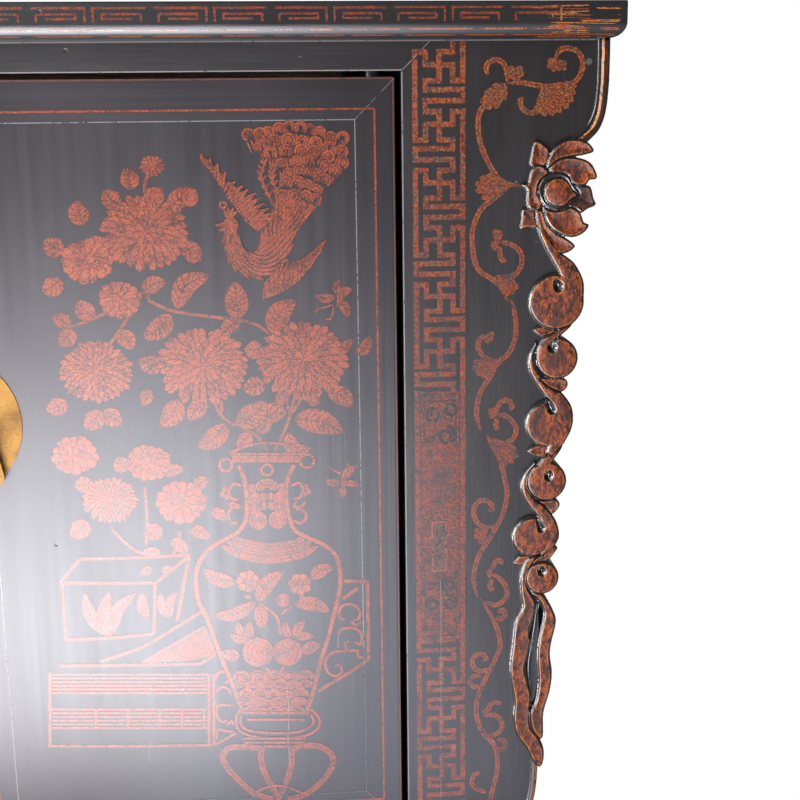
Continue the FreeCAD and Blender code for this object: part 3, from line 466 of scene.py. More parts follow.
coat(lacquer_across, "top_front_rail", "top_back_rail", "top_panel")
coat(lacquer_back, "top_end_left", "top_end_right")
top_front = -230
top_end = 628
flat_foot = 935.5
round_depth = 14.0
round_height = 12.5
round_length = 20.8


def moulding(level):
    """The edge's section at a height measured up along it, 0 where the round meets the underside:
    how far it lies inward, its height, and its normal as (outward, up)."""
    turn = np.clip(level / round_length, 0, 1) * np.pi / 2
    inward = round_depth * (1 - np.sin(turn))
    height = flat_foot - round_height * np.cos(turn) + np.maximum(level - round_length, 0)
    normal = np.stack([np.sin(turn) * round_height, -np.cos(turn) * round_depth], -1)
    return inward, height, normal / np.linalg.norm(normal, axis=-1, keepdims=True)


def front_edge(points):
    """Puts (x, level) points on the top's front edge."""
    inward, height, normal = moulding(points[..., 1])
    place = np.stack([points[..., 0], inward + top_front, height], -1)
    return place, np.stack([np.zeros_like(inward), -normal[..., 0], normal[..., 1]], -1)


def end_edge(points):
    """Puts (y, level) points on the top's right end."""
    inward, height, normal = moulding(points[..., 1])
    place = np.stack([top_end - inward, points[..., 0], height], -1)
    return place, np.stack([normal[..., 0], np.zeros_like(inward), normal[..., 1]], -1)


key_spacing = 52.0
key_length = 47
key_base = 22.5
# One key of the fret, along and up; every other one is turned end for end
key_lines = (
    ((1, 12.2), (47, 12.2)),
    ((46, 12), (46, 0.5)),
    ((5, 0.8), (5, 7.4)),
    ((5, 7.2), (39, 7.2)),
    ((38.5, 7), (38.5, 3.4)),
    ((13, 3.2), (39, 3.2)),
)
edge_line_levels = (9.5, 16.0)
fading_length = 50
streak_count = 45
top_paint = brush_paint("top_paint", 0.76, 0.05, 0.9)


def edge_fret(work, face, start, end, worn_from):
    """Paints the keys and the two broken lines from start to end; past worn_from they turn to streaks."""
    rng = np.random.default_rng(5)
    keys = int((end - start) / key_spacing)
    for key in range(keys + 1):
        corner = start + key * key_spacing
        for (x, z), (far_x, far_z) in key_lines:
            if key % 2:
                x, far_x = key_length - x, key_length - far_x
            side = np.array(((corner + x, key_base + z), (corner + far_x, key_base + far_z)))
            wear = np.clip((side[:, 0].mean() - worn_from) / fading_length, 0, 1)
            if side[:, 0].max() > end or rng.random() < 0.7 * wear:
                continue
            work.stroke(side, 1.1 * rng.uniform(0.8, 1.1), "even", tone=wear, count=7, face=face)
    for level in edge_line_levels:
        x = start
        while x < end - 8:
            length = rng.uniform(18, 60)
            stop = min(x + length, end - 3)
            work.stroke(((x, level), (stop, level)), rng.uniform(0.5, 0.95), tone=0.3, count=9, face=face)
            x += length + rng.uniform(2, 9)
    for _ in range(streak_count):
        x = rng.uniform(worn_from, end - 4)
        level = rng.uniform(3, 37)
        length = rng.uniform(8, 46)
        streak = ((x, level), (min(x + length, end - 2), level + rng.uniform(-0.8, 0.8)))
        work.stroke(streak, rng.uniform(0.3, 0.8), tone=rng.uniform(0.1, 0.8), count=9, face=face)


top_painted = Brushwork()
edge_fret(top_painted, front_edge, start=2, end=624, worn_from=540)
edge_fret(top_painted, end_edge, start=-226, end=226, worn_from=150)
top_painted.dry("top_edge_fret", on_carcass, top_paint)


# Front wings: boards tongued into the posts and the top, pegged from the front. Their outer edge is
# carved into a lotus, a chain of scrolls and a twisted ribbon with a bead above and below, painted red
# and rubbed to gold at the edges; the ground beside it is black with a painted vine.

wing_start = 492.5
wing_top = 923.0
wing_back = -190.0
coat(lacquer_up, "back_wing_left", "back_wing_right")
# The edge of the plain board, hidden under the carving: out from the post and down from the top
board_edge = (
    (119.5, 0), (119.5, 30), (117, 56), (112.5, 73), (100, 92), (86, 150), (80, 230), (74, 320),
    (68, 410), (64, 500), (68, 600), (67, 650), (60.5, 704), (60, 728), (59, 746), (55, 768), (45, 788),
    (27, 800), (5, 804), (0.5, 811),
)
board_steps = 120
edge_out, edge_down = smooth(board_edge, board_steps).T
near, far, level = np.full(board_steps, wing_start), wing_start + edge_out, wing_top - edge_down
board_x = np.stack([near, far, far, near], 1)
board_y = np.broadcast_to((front_plane, front_plane, wing_back, wing_back), board_x.shape)
board_z = np.broadcast_to(level[:, None], board_x.shape)
boards = Brushwork()
boards.add(np.stack([board_x, board_y, board_z], -1), level, board_x, near, (0, 0, 0))
wing_boards = boards.dry("wing_board", on_carcass, lacquer_up)
for board, side in zip(wing_boards, ("right", "left")):
    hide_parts(f"front_wing_{side}")


def carved_paint(name):
    """Paint on carving: finely mottled orange and brown, black lacquer on the bevels, black as painted
    shade in the grooves and hollows, with gold where the edges have been rubbed. A corner's cut mark holds
    how black, from lacquer and painted shade together, and how gilt it is."""
    material, place = new_surface(name)
    black_and_shade, gilt = read_marks(place, "cut")[:2]
    clouds = noise(place, 10, detail=4.0)
    mottle = noise(place, 2.6, (1, 1, 2), 6.0)
    grit = noise(place, 0.9, (1, 1, 2), 3.0)
    patches = ease(noise(place, 15, (1, 1, 1.6), 6.0), 0.52, 0.62)
    brown, orange, bright = tint(38, 19, 16), tint(128, 48, 15), tint(190, 90, 20)
    dull, gold, black_and_shade_tint = tint(40, 29, 31), tint(212, 128, 34), tint(22, 20, 22)
    colour = blend(ease(mottle + 0.5 * clouds, 0.50, 1.0), brown, orange)
    colour = blend(ease(grit + 0.7 * mottle + 0.3 * clouds, 0.92, 1.24), colour, bright)
    colour = blend(0.7 * patches * ease(grit, 0.3, 0.5), colour, dull)
    colour = blend(gilt * ease(mottle + 0.5 * clouds, 0.58, 0.84), colour, gold)
    # Black lacquer on bevels and walls, and painted shade in the grooves and hollows
    colour = blend(black_and_shade, colour, black_and_shade_tint)
    roughness = 0.44 + 0.1 * mottle - 0.2 * black_and_shade
    sockets = {"Base Color": colour, "Roughness": roughness, "Specular IOR Level": 0.3}
    shaded(place, grit + 1.5 * mottle, 0.0001, {**sockets, "Coat Weight": black_and_shade, "Coat Roughness": 0.14})
    return material


# Places in the carving and the painting are read off the picture, across and down in its pixels, and are
# carried back to the front plane from the eye that the picture was taken from, its place in millimetres
picture_width = 800.0
picture_middle = picture_width / 2
picture_focal = 1300.0
eye_place = np.array((317.4, -1411.4, 858.8))
eye_pitch = math.radians(12.447)
eye_yaw = math.radians(5.0)
eye_roll = math.radians(0.6)
eye_turn = (Matrix.Rotation(-eye_yaw, 4, "Z") @ Matrix.Rotation(math.pi / 2 - eye_pitch, 4, "X")
            @ Matrix.Rotation(-eye_roll, 4, "Z"))


def seen(*points, plane=front_plane):
    """Places on the front plane, as (x, z), of points of the picture: the ray from the eye through each
    point, followed to the plane."""
    across, down = np.array(points, float).T
    ahead = np.full(len(across), -picture_focal)
    rays = np.stack([across - picture_middle, picture_middle - down, ahead], 1)
    rays = rays @ np.array(eye_turn.to_3x3()).T
    reach = (plane - eye_place[1]) / rays[:, 1]
    return (eye_place + rays * reach[:, None])[:, (0, 2)]


def spot(point, plane=front_plane):
    """The place of one point of the picture."""
    return seen(point, plane=plane)[0]


carving = carved_paint("carving")
relief_plane = -216.0
relief_pitch = 0.5
relief_back = wing_back - 0.4
curve_steps = 12
most_curve_points = 90
round_points = 72
strap_points = 48


def closed_curve(*points):
    """A smooth closed curve through picture points, cubic Hermite pieces that run on round the ring."""
    ring = seen(*points, plane=relief_plane)
    wrapped = np.concatenate([ring[-2:], ring, ring[:2]])
    curve = smooth(wrapped, (len(ring) + 3) * curve_steps + 1)
    whole_ring = curve_steps * len(ring)
    return curve[2 * curve_steps:2 * curve_steps + whole_ring:max(1, whole_ring // most_curve_points)]


def round_curve(centre, radius):
    """A circle round a picture point, its radius in millimetres."""
    return arc(spot(centre, relief_plane), radius, 0, 360, round_points + 1)[:-1]


def band(points, half_widths, count):
    """A curved band through points: its middle line, the way along it and across it, and its half width."""
    path = smooth(points, count)
    widths = np.interp(np.linspace(0, 1, count), np.linspace(0, 1, len(half_widths)), half_widths)
    along = np.gradient(path, axis=0)
    along /= np.linalg.norm(along, axis=1, keepdims=True)
    return path, along, np.stack([-along[:, 1], along[:, 0]], 1), widths


def strap_curve(points, half_widths):
    """The outline of a strap along picture points, with half widths in millimetres spread along it."""
    path, _, across, widths = band(seen(*points, plane=relief_plane), half_widths, strap_points)
    aside = across * widths[:, None]
    return np.concatenate([path + aside, (path - aside)[::-1]])


def depth_inside(places, curve):
    """How far each place lies inside a closed curve; outside it is negative."""
    start, end = curve, np.roll(curve, -1, 0)
    side = end - start
    away = places[:, None] - start
    share = np.clip((away * side).sum(-1) / np.maximum((side**2).sum(-1), 1e-9), 0, 1)
    nearest = np.linalg.norm(away - share[..., None] * side, axis=-1).min(1)
    spans = (start[:, 1] > places[:, None, 1]) != (end[:, 1] > places[:, None, 1])
    rise = np.where(np.abs(side[:, 1]) < 1e-9, 1e-9, side[:, 1])
    crossed = spans & (away[..., 0] < side[:, 0] * away[..., 1] / rise)
    return np.where(crossed.sum(1) % 2 == 1, nearest, -nearest)


# How each kind of face is cut: its level at the edge, the width of its chamfer, its dish (a dome, below 0),
# and how far it is left black
carved_faces = {
    "petal": (4.6, 2.0, 1.8, 0.0),
    "bud": (5.6, 1.7, -1.2, 0.0),
    "disc": (4.7, 2.1, -0.5, 0.0),
    "strap": (5.2, 2.2, 0.3, 0.0),
    "under": (3.6, 1.6, 1.0, 0.0),
    # The petal sunk behind the lotus is left mostly black as painted shade
    "dark": (3.6, 1.6, 1.2, 0.7),
    "collar": (4.4, 1.6, 0.6, 0.95),
    "bead": (2.4, 1.7, -0.4, 0.8),
    "fillet": (0.6, 1.0, 0.0, 1.0),
    "ridge": (0.6, 2.6, 0.0, 1.0),
}
dish_reach = 5.0
groove_width = 0.8
groove_depth = 1.2
hollow_reach = 1.6
hollow_depth = 4.4
carved_level = 2.0
# The line of gold that rubbing leaves: how far inside an edge it lies, and its half width
rubbed_inset = 0.35
rubbed_half_width = 0.45
full_gilt = 1.6
far_outside = -99.0
outline_reach = 4.0


def depth_in_shape(places, rings):
    """How far each place lies inside a shape of several outlines, which may overlap."""
    depth = np.full(len(places), -2 * outline_reach - 1)
    for curve in rings:
        near = ((places > curve.min(0) - outline_reach) & (places < curve.max(0) + outline_reach)).all(1)
        depth[near] = np.maximum(depth[near], depth_inside(places[near], curve))
    return depth


def rubbed_line_at(away):
    """A thin gilt line, brightest at a small distance inside an edge."""
    return np.exp(-(((away - rubbed_inset) / rubbed_half_width) ** 2))


def steep(away, reach):
    """1 near an edge, falling steeply to 0 at a reach from it."""
    return np.exp(-((away / reach) ** 8))


def carve(places, shapes):
    """Lays shapes one over another on a grid of places. Inside its outlines a shape has height
    level + min(d, c) - dish (1 - exp(-(d/5)^2)), d being the depth inside and c the chamfer, and round it a
    groove is cut and painted black as shade. A hollow is sunk as a cone from a little outside its outline
    and painted black as shade, and a gilt shape is only painted. Gives the depth inside the whole, the
    height, how black each place is, with black lacquer and painted shade together, and how gilt it is."""
    whole = np.full(len(places), far_outside)
    lift, gilt, black_and_shade = np.zeros((3, len(places)))
    for kind, *rings in shapes:
        depth = depth_in_shape(places, rings)
        inside = depth > 0
        inner = np.maximum(depth, 0)
        beside = np.maximum(-depth, 0)
        groove = np.exp(-((depth / groove_width) ** 2))
        if kind == "hollow":
            lift -= np.clip(depth + hollow_reach, 0, hollow_depth) * (lift > carved_level)
            # The hollow is painted black as shade, out to a little beyond its outline
            black_and_shade = np.maximum(black_and_shade, steep(beside, hollow_reach))
            edge = rubbed_line_at(beside - hollow_reach)
            gilt = np.where(inside, 0, np.maximum(gilt * (1 - groove), edge))
        elif kind == "gilt":
            gilt = np.where(inside, full_gilt, gilt)
            black_and_shade = np.where(inside, 0, black_and_shade)
        else:
            level, chamfer, dish, left_black = carved_faces[kind]
            face = level + np.minimum(inner, chamfer) - dish * (1 - np.exp(-((inner / dish_reach) ** 2)))
            lift = np.where(inside, face, lift - groove_depth * groove * (lift > carved_level))
            chamfered = np.maximum(left_black, steep(inner, chamfer))
            # Inside, the chamfer is black lacquer; round the shape, the groove is painted black as shade
            black_and_shade = np.where(inside, chamfered, np.maximum(black_and_shade, groove))
            edge = (left_black == 0) * rubbed_line_at(inner - chamfer)
            gilt = np.where(inside, edge, gilt * (1 - groove))
            whole = np.maximum(whole, depth)
    return whole, lift, black_and_shade, gilt


def slab(quads, count):
    """Closes a sheet of quads: the sheet, its copy turned over, count corners on, and walls along its
    border, which is every side that no second quad shares."""
    edges = np.stack([quads, np.roll(quads, -1, 1)], -1).reshape(-1, 2)
    forth = edges[:, 0] * count + edges[:, 1]
    back = edges[:, 1] * count + edges[:, 0]
    border = edges[~np.isin(forth, back)]
    walls = np.stack([border[:, 1], border[:, 0], border[:, 0] + count, border[:, 1] + count], -1)
    return np.concatenate([quads, quads[:, ::-1] + count, walls])


def relief(name, shapes):
    """A carved relief as heights over a grid. Corners outside every shape are dropped, those along the edge
    are drawn onto the outline, and the sides go straight through the board."""
    curves = np.concatenate([curve for kind, *rings in shapes for curve in rings])
    low, high = curves.min(0) - 3 * relief_pitch, curves.max(0) + 3 * relief_pitch
    x, z = np.meshgrid(np.arange(low[0], high[0], relief_pitch), np.arange(low[1], high[1], relief_pitch))
    places = np.stack([x, z], -1).reshape(-1, 2)
    whole, lift, black_and_shade, gilt = (values.reshape(x.shape) for values in carve(places, shapes))
    outside = whole < 0
    slope = np.stack(np.gradient(whole, relief_pitch)[::-1], -1)
    slope /= np.maximum(np.linalg.norm(slope, axis=-1, keepdims=True), 1e-6)
    drawn_in = np.where(outside[..., None], -whole[..., None] * slope, 0).reshape(-1, 2)
    # Corners just outside take the height of the edge beside them
    beside = np.max([np.roll(lift, shift, axis) for shift in (-1, 1) for axis in (0, 1)], 0)
    lift = np.where(outside, beside, lift).ravel()
    black_and_shade = np.where(outside, 1.0, black_and_shade).ravel()
    kept = whole > -0.9 * relief_pitch
    cells = kept[:-1, :-1] & kept[:-1, 1:] & kept[1:, :-1] & kept[1:, 1:]
    numbers = np.arange(whole.size).reshape(whole.shape)
    quads = np.stack([numbers[:-1, :-1], numbers[:-1, 1:], numbers[1:, 1:], numbers[1:, :-1]], -1)[cells]
    used, faces = np.unique(slab(quads, whole.size), return_inverse=True)
    placed = np.tile(places + drawn_in, (2, 1))
    deep = np.concatenate([front_plane - lift, np.full(whole.size, relief_back)])
    corners = np.stack([placed[:, 0], deep, placed[:, 1]], 1)[used]
    front_cut = np.stack([black_and_shade, gilt.ravel(), np.zeros(whole.size)], 1)
    cut = np.concatenate([front_cut, np.tile((1.0, 0.0, 0.0), (whole.size, 1))])[used]
    faces = [faces.reshape(-1, 4)]
    mirrored_pair(name, corners, faces, {"cut": cut}, on_carcass, carving, True)


# The lotus, from the back forward: two small petals behind it, a petal sunk in a hollow and left dark as
# painted shade, five petals, and the bud in its collar
lotus_petals = (
    ("under", ((536, 141), (549, 149), (549, 160), (541, 169), (531, 166), (531, 157))),
    ("under", ((524, 209), (538, 211), (538, 227), (529, 228), (521, 229), (522, 218))),
    ("dark", ((569, 180), (584, 185), (591, 187), (594, 198), (596, 205), (588, 209), (581, 213),
     (570, 209), (564, 194))),
    ("petal", ((547, 168), (549, 157), (556, 146), (566, 140), (577, 139), (588, 142), (594, 151),
     (584, 155), (572, 157), (560, 160), (552, 166))),
    ("petal", ((549, 170), (556, 161), (567, 157), (580, 158), (591, 163), (597, 174), (596, 179),
     (590, 180), (586, 185), (578, 186), (568, 182), (558, 176))),
    ("petal", ((536, 211), (543, 211), (548, 224), (556, 232), (566, 238), (573, 243), (575, 247),
     (569, 252), (560, 254), (551, 250), (544, 240), (538, 227))),
    ("petal", ((543, 206), (551, 210), (562, 210), (571, 207), (580, 212), (584, 222), (589, 225),
     (585, 232), (575, 237), (564, 236), (553, 230), (546, 220))),
    ("petal", ((549, 173), (544, 166), (537, 165), (531, 171), (528, 182), (522, 185), (527, 192),
     (527, 206), (533, 211), (540, 210), (543, 203), (538, 192), (541, 181))),
    ("collar", ((538, 190), (541, 181), (548, 174), (558, 172), (568, 175), (573, 184), (580, 195),
     (571, 204), (562, 210), (551, 209), (542, 203))),
    ("bud", ((544, 192), (547, 183), (554, 178), (563, 178), (569, 183), (573, 190), (578, 195),
     (571, 200), (565, 206), (556, 207), (547, 202))),
)
relief("lotus", [(kind, closed_curve(*points)) for kind, points in lotus_petals])

# The chain of scrolls, from the lowest up, each a round curl with its stem in one surface. A stem starts
# beside the curl above, runs down along it and under its edge, and swells; leaf tips show at the crossings,
# and a hollow at each curl's heart, painted black as shade
scroll_curls = (
    dict(tips=(((560, 506), (552, 515), (541, 510), (531, 500), (541, 501), (556, 500)),
               ((514, 564), (521, 556), (535, 556), (530, 563), (520, 566))),
         middle=(532.5, 537), radius=20.2,
         stem=((536, 463), (527, 475), (524, 487), (530, 500), (541, 511), (550, 524), (553, 537),
               (548, 548), (541, 555)),
         half_widths=(1.5, 2.6, 3.2, 4.5, 6.0, 6.8, 6.2, 4.2, 1.5),
         hollow=((537, 520), (541, 523.5), (544, 528), (542.5, 531), (539, 531), (538, 526))),
    dict(tips=(), middle=(546.5, 481.5), radius=19.6,
         stem=((562, 430), (558, 445), (550, 457), (543, 468), (540, 478)),
         half_widths=(3.0, 5.0, 5.0, 6.5, 8.0),
         hollow=((548, 471), (545.5, 474), (546, 479), (549.5, 480), (552, 476.5), (551, 472.5))),
    dict(tips=(((528, 452), (538, 445), (553, 448), (547, 456), (536, 457)),),
         middle=(549, 424), radius=22.8,
         stem=((537, 343), (531.5, 356), (532.5, 370), (543, 385), (555, 397), (563, 410), (564, 424),
               (558, 440), (549, 455)),
         half_widths=(1.2, 2.4, 3.4, 5.2, 7.6, 9.0, 8.6, 7.2, 4.0),
         hollow=((546.5, 399), (547, 405), (548.5, 411), (552, 413.5), (555, 411), (552.5, 404.5))),
    dict(tips=(((568, 386), (562, 392), (550, 388), (540, 379), (549, 378), (565, 379)),),
         middle=(557, 358.5), radius=20.2,
         stem=((579, 308), (568, 323), (556, 333), (547, 344), (543, 356)),
         half_widths=(3.0, 4.5, 5.5, 6.5, 8.0),
         hollow=((557, 338.5), (552, 342.5), (548.5, 347), (550, 351), (553.5, 351.5), (556, 347.5),
                 (555, 343.5))),
    dict(tips=(((534, 331), (542, 326), (558, 329), (551, 335), (541, 337)),),
         middle=(556.5, 302), radius=26.4,
         stem=((538, 226), (546, 241), (556, 256), (567, 269), (574, 284), (575, 300)),
         half_widths=(2.0, 3.6, 5.5, 9.0, 9.5, 8.5),
         hollow=((556, 280), (560, 282), (562.5, 286), (560, 290.5), (556.5, 291), (554.5, 287),
                 (554.5, 283))),
)
scrolls = []
for curl in scroll_curls:
    scrolls += [("under", closed_curve(*tip)) for tip in curl["tips"]]
    stem = strap_curve(curl["stem"], curl["half_widths"])
    scrolls.append(("disc", round_curve(curl["middle"], curl["radius"]), stem))
    scrolls.append(("hollow", closed_curve(*curl["hollow"])))
relief("scrolls", scrolls)

# The last curl, and the two ribbons that twist down from it
last_curl = (542, 578)
ribbon_stem = ((556, 547), (548, 556), (538, 563), (530, 572))
ribbon_ridge = ((538, 604), (535, 627), (531.5, 648), (529, 668), (530, 690), (530.5, 712))
ribbon_behind = (
    (530, 590), (536, 598), (541, 604), (543.5, 614), (541, 628), (538, 642), (537, 660), (538, 682),
    (535, 701), (529.5, 713), (531, 727), (538, 738), (543, 736), (543.5, 713), (550, 690), (552, 672),
    (550, 655), (551.5, 642), (556, 622), (553, 610), (546, 598), (538, 590),
)
ribbon_before = (
    (537, 556), (526, 560), (520, 576), (520.5, 594), (522, 608), (515, 622), (512, 646), (509.5, 672),
    (514, 701), (513, 718), (516, 734), (526, 748), (533, 762), (540, 767), (543.5, 760), (543.5, 748),
    (539, 738), (531, 727), (529.5, 713), (531, 694), (525.5, 672), (525.5, 664), (531, 642),
    (529.5, 632), (536, 604), (528, 588), (528, 573),
)
ribbon_hollow = ((541, 567), (538.5, 570), (540, 574.5), (543.5, 574.5), (544.8, 571), (543.5, 568))
relief("ribbons", (
    ("under", strap_curve(ribbon_stem, (3.0, 4.0, 5.0, 5.0))),
    ("ridge", strap_curve(ribbon_ridge, (1.5, 2.6, 2.8, 2.8, 2.8, 1.5))),
    ("strap", closed_curve(*ribbon_behind)),
    ("strap", closed_curve(*ribbon_before)),
    ("disc", round_curve(last_curl, 16.8)),
    ("hollow", closed_curve(*ribbon_hollow)),
))

# The beads that finish the edge above and below the carving, with a step beside the upper one
bead_upper = ((607.5, 38), (607, 60), (606, 84), (603, 110), (597, 127), (587, 138), (576, 147))
gilt_upper = ((604.6, 38), (604.1, 60), (603, 84), (600, 109), (594.2, 125.5), (584.5, 136), (573, 145))
step_upper = ((602.3, 38), (602, 60), (601, 84), (598, 107), (592, 123), (583, 133), (570, 144))
bead_lower = ((535, 757), (534, 780), (531.5, 798), (527, 814), (516.5, 831), (499, 841.5), (478, 846))
relief("upper_bead", (
    ("fillet", strap_curve(step_upper, (2.2, 2.2))),
    ("bead", strap_curve(bead_upper, (3.6, 3.6))),
    ("gilt", strap_curve(gilt_upper, (0.6, 0.6))),
))
gilt_lower = (
    (536.4, 757), (535.4, 780), (532.9, 798.3), (528.2, 815), (517.3, 832.4), (499.4, 843),
    (478, 847.4),
)
relief("lower_bead", (
    ("bead", strap_curve(bead_lower, (3.4, 3.4))),
    ("gilt", strap_curve(gilt_lower, (0.6, 0.6))),
))

# The vine on the ground of the wing: a stem in long curves, with curls and lobed leaves
vine_paint = brush_paint("vine_paint", 0.77, 0.3, 1.0, gilding=0.6)
vine = Brushwork()
vine_stems = (
    ((488, 75), (486, 67), (491, 61), (498, 60), (504, 64), (507, 73), (507, 82)),
    ((505, 88), (491, 101), (481, 110), (478, 124), (480, 142), (487, 160), (495, 174), (505, 183),
     (521, 186)),
    ((507, 83), (524, 83), (542, 86), (560, 86), (574, 82), (581, 73), (582.5, 61), (577, 51),
     (567, 48), (559, 51), (555, 60)),
    ((541, 88), (543, 98), (540, 108), (531, 113), (523, 109), (520, 102), (523, 97)),
    ((504, 188), (492, 200), (483, 207), (477, 217), (473, 228), (472, 240), (474, 258), (479, 270),
     (490, 278), (500, 286), (509, 303)),
    ((511, 299), (515, 315), (516, 330), (514, 342), (508, 354), (497, 364), (490, 377), (481, 391),
     (477, 406), (477, 417), (481, 432)),
    ((486, 434), (493, 447), (500, 460), (505, 481), (507, 495), (503, 513), (496, 527), (488, 541),
     (479, 555), (474, 572), (474, 583), (478, 598)),
    ((480, 598), (489, 612), (496, 626), (499, 636), (500, 647), (494, 662), (487, 675), (479, 693),
     (476, 708), (478, 722), (484, 734), (493, 743), (497, 755), (497, 771), (493, 787), (489, 802),
     (480, 818), (474, 838)),
)
# Each curl winds off the stem; a round lobe or a hook stands at its head
vine_curls = (
    ((492, 277), (512, 276), (520, 268), (522, 258), (518, 249), (510, 244), (500, 242)),
    ((499, 246), (500, 254), (502, 260), (506, 259)),
    ((500, 361), (490, 360), (482, 355), (478, 347), (480, 339), (487, 334)),
    ((490, 439), (498, 442), (506, 443), (514, 437), (516, 428), (511, 420), (505, 416), (496, 414)),
    ((497, 410), (500, 403), (507, 400), (512, 405), (510, 411)), ((497, 418), (496, 425), (498, 430)),
    ((496, 526), (485, 527), (478, 523), (474, 516), (474, 508), (478, 502), (485, 500), (491, 504),
     (492, 509), (487, 512)),
    ((483, 601), (495, 605), (503, 601), (507, 594), (505, 585), (499, 578), (492, 574)),
    ((492, 570), (494, 564), (499, 560), (503, 564)), ((492, 579), (490, 586), (493, 591)),
    ((497, 612), (503, 610), (505, 615), (501, 619), (496, 617)),
    ((493, 667), (481, 671), (474, 667), (472, 661), (476, 655), (482, 654), (486, 658), (483, 662)),
    ((481, 676), (474, 676), (470, 682), (474, 687), (479, 684)),
    ((487, 735), (496, 734), (502, 727), (500, 719), (494, 715), (487, 715)),
    ((488, 712), (490, 705), (495, 702), (502, 704)),
    ((497, 741), (503, 740), (505, 746), (501, 750), (496, 748)),
    ((487, 792), (477, 789), (472, 783), (474, 775), (481, 772)),
)
vine_tone = 0.18
for points in vine_stems + vine_curls:
    vine.stroke(seen(*points), 2.7, tone=vine_tone, rib=0.8, count=7 * len(points))
# Lobed leaves: where they spring from, the half width of a lobe, and the lobes' tips
vine_fans = (
    ((544, 86), 4.6, ((577, 86), (576, 93), (574, 101), (569, 108), (561, 113), (553, 116), (545, 117),
     (537, 115))),
    ((506, 84), 3.8, ((492, 88), (484, 95), (480, 103), (486, 110), (495, 109), (503, 101))),
    ((506, 76), 3.0, ((523, 67), (525, 73), (521, 79), (514, 66))),
    ((510, 186), 3.8, ((474, 184), (475, 191), (481, 199), (489, 201), (479, 177), (487, 174))),
    ((557, 58), 2.6, ((547, 62), (547, 68), (553, 72))),
    ((557, 60), 2.6, ((560, 71), (566, 70), (567, 64))),
    ((498, 245), 3.6, ((495, 229), (500, 230), (491, 243), (492, 249))),
    ((498, 278), 3.8, ((516, 283), (519, 288), (515, 294), (509, 296))),
    ((494, 362), 4.0, ((473, 363), (472, 369), (476, 375), (482, 378))),
    ((484, 340), 3.0, ((494, 332), (494, 338), (490, 341))),
    ((497, 415), 3.4, ((488, 410), (489, 416), (495, 406))),
    ((492, 443), 4.2, ((517, 450), (518, 457), (514, 463), (507, 466))),
    ((488, 528), 3.8, ((474, 532), (474, 538), (479, 544))),
    ((493, 574), 3.4, ((487, 570), (487, 576))), ((489, 714), 3.2, ((483, 710), (484, 716))),
)
for base, half_width, tips in vine_fans:
    for order, tip in enumerate(seen(*tips)):
        lobe = (spot(base), tip)
        vine.stroke(lobe, 1.25 * half_width, "petal", vine_tone, 7.0, rib=0.4, layer=1 + order, count=11)
vine.dry("wing_vine", on_carcass, vine_paint)

# The pegs: end grain, grey and dried out, with a ring of dark lacquer round them
peg_wood, place = new_surface("peg_wood")
fibres = noise(place, 0.7, (1, 12, 1), 4.0)
rays = noise(place, 3.5)
peg_colour = blend(fibres, tint(44, 42, 43), tint(88, 85, 85))
shaded(place, fibres + rays, 0.0002, {"Base Color": peg_colour, "Roughness": 0.5 + 0.2 * fibres})
coat(peg_wood, "wing_pegs")


# Doors: mitred frames with flush panels that turn on wooden pintles at their outer stiles. Their black
# lacquer is the finest on the piece and takes a soft reflection, broken by upright streaks. The joints
# show as dusty lines, and the arrises have rubbed through to the red undercoat.

def door_lacquer(name, grain):
    """The doors' lacquer, glossier than the carcass: broad streaks along the grain, dents and nicks."""
    material, place = new_surface(name)
    along = tuple(60.0 if axis == grain else 1.0 for axis in "XYZ")
    bands = noise(place, 9, along, 4.0)
    brush = noise(place, 1.3, along)
    patches = noise(place, 160)
    dents = spots(place, 62, 0.035)
    specks = ease(noise(place, 3.0, detail=5.0), 0.76, 0.80)
    deep, faded, dust = tint(27, 20, 27), tint(37, 29, 38), tint(96, 92, 90)
    colour = blend(ease(patches, 0.3, 0.7), deep, faded)
    colour = blend(larger(specks * 0.5, dents * 0.6), colour, dust)
    height = 0.9 * bands + 0.25 * brush - 2.0 * dents
    roughness = 0.26 + 0.12 * bands + 0.06 * patches
    shaded(place, height, 0.00014, {"Base Color": colour, "Roughness": roughness})
    return material


panel_lacquer = door_lacquer("panel_lacquer", "Z")
rail_lacquer = door_lacquer("rail_lacquer", "X")
for side in ("left", "right"):
    coat(panel_lacquer, *(f"{side}_door_{piece}" for piece in ("panel", "hinge_stile", "meeting_stile")))
    coat(rail_lacquer, f"{side}_door_top_rail", f"{side}_door_bottom_rail")


def rubbed_line(name, colour, cover):
    """A thin worn line: broken specks of a colour on black; cover is the noise level where it starts."""
    material, place = new_surface(name)
    grit = noise(place, 2.2, detail=4.0)
    clouds = noise(place, 30)
    shown = ease(grit + 0.6 * clouds, cover, cover + 0.14)
    mixed = blend(shown, ink_black, colour)
    shaded(place, grit, 0.0001, {"Base Color": mixed, "Roughness": 0.32 + 0.15 * grit})
    return material


seam_dust = rubbed_line("seam_dust", tint(132, 130, 132), 0.62)
red_arris = rubbed_line("red_arris", tint(88, 38, 24), 0.62)
# Pale arris lines: wear, and also a painted highlight on arrises left sharp
worn_arris_highlight = rubbed_line("worn_arris_highlight", tint(140, 133, 135), 0.56)
tenon_face = rubbed_line("tenon_face", tint(100, 55, 42), 0.70)
tenon_gold = rubbed_line("tenon_gold", tint(168, 84, 34), 0.68)
# Rectangles on the front, as left, right, low and high: a door, its panel, the line painted round it, and
# the end of the shelf bearer's tenon
door_box = (2.4, 419.0, 151.2, 889.8)
panel_box = (39.0, 384.0, 187.5, 853.5)
border_box = (21.0, 402.0, 178.0, 863.0)
tenon_box = (452.75, 466.25, 420.0, 470.0)
door_bodies = ("right_door", "left_door")


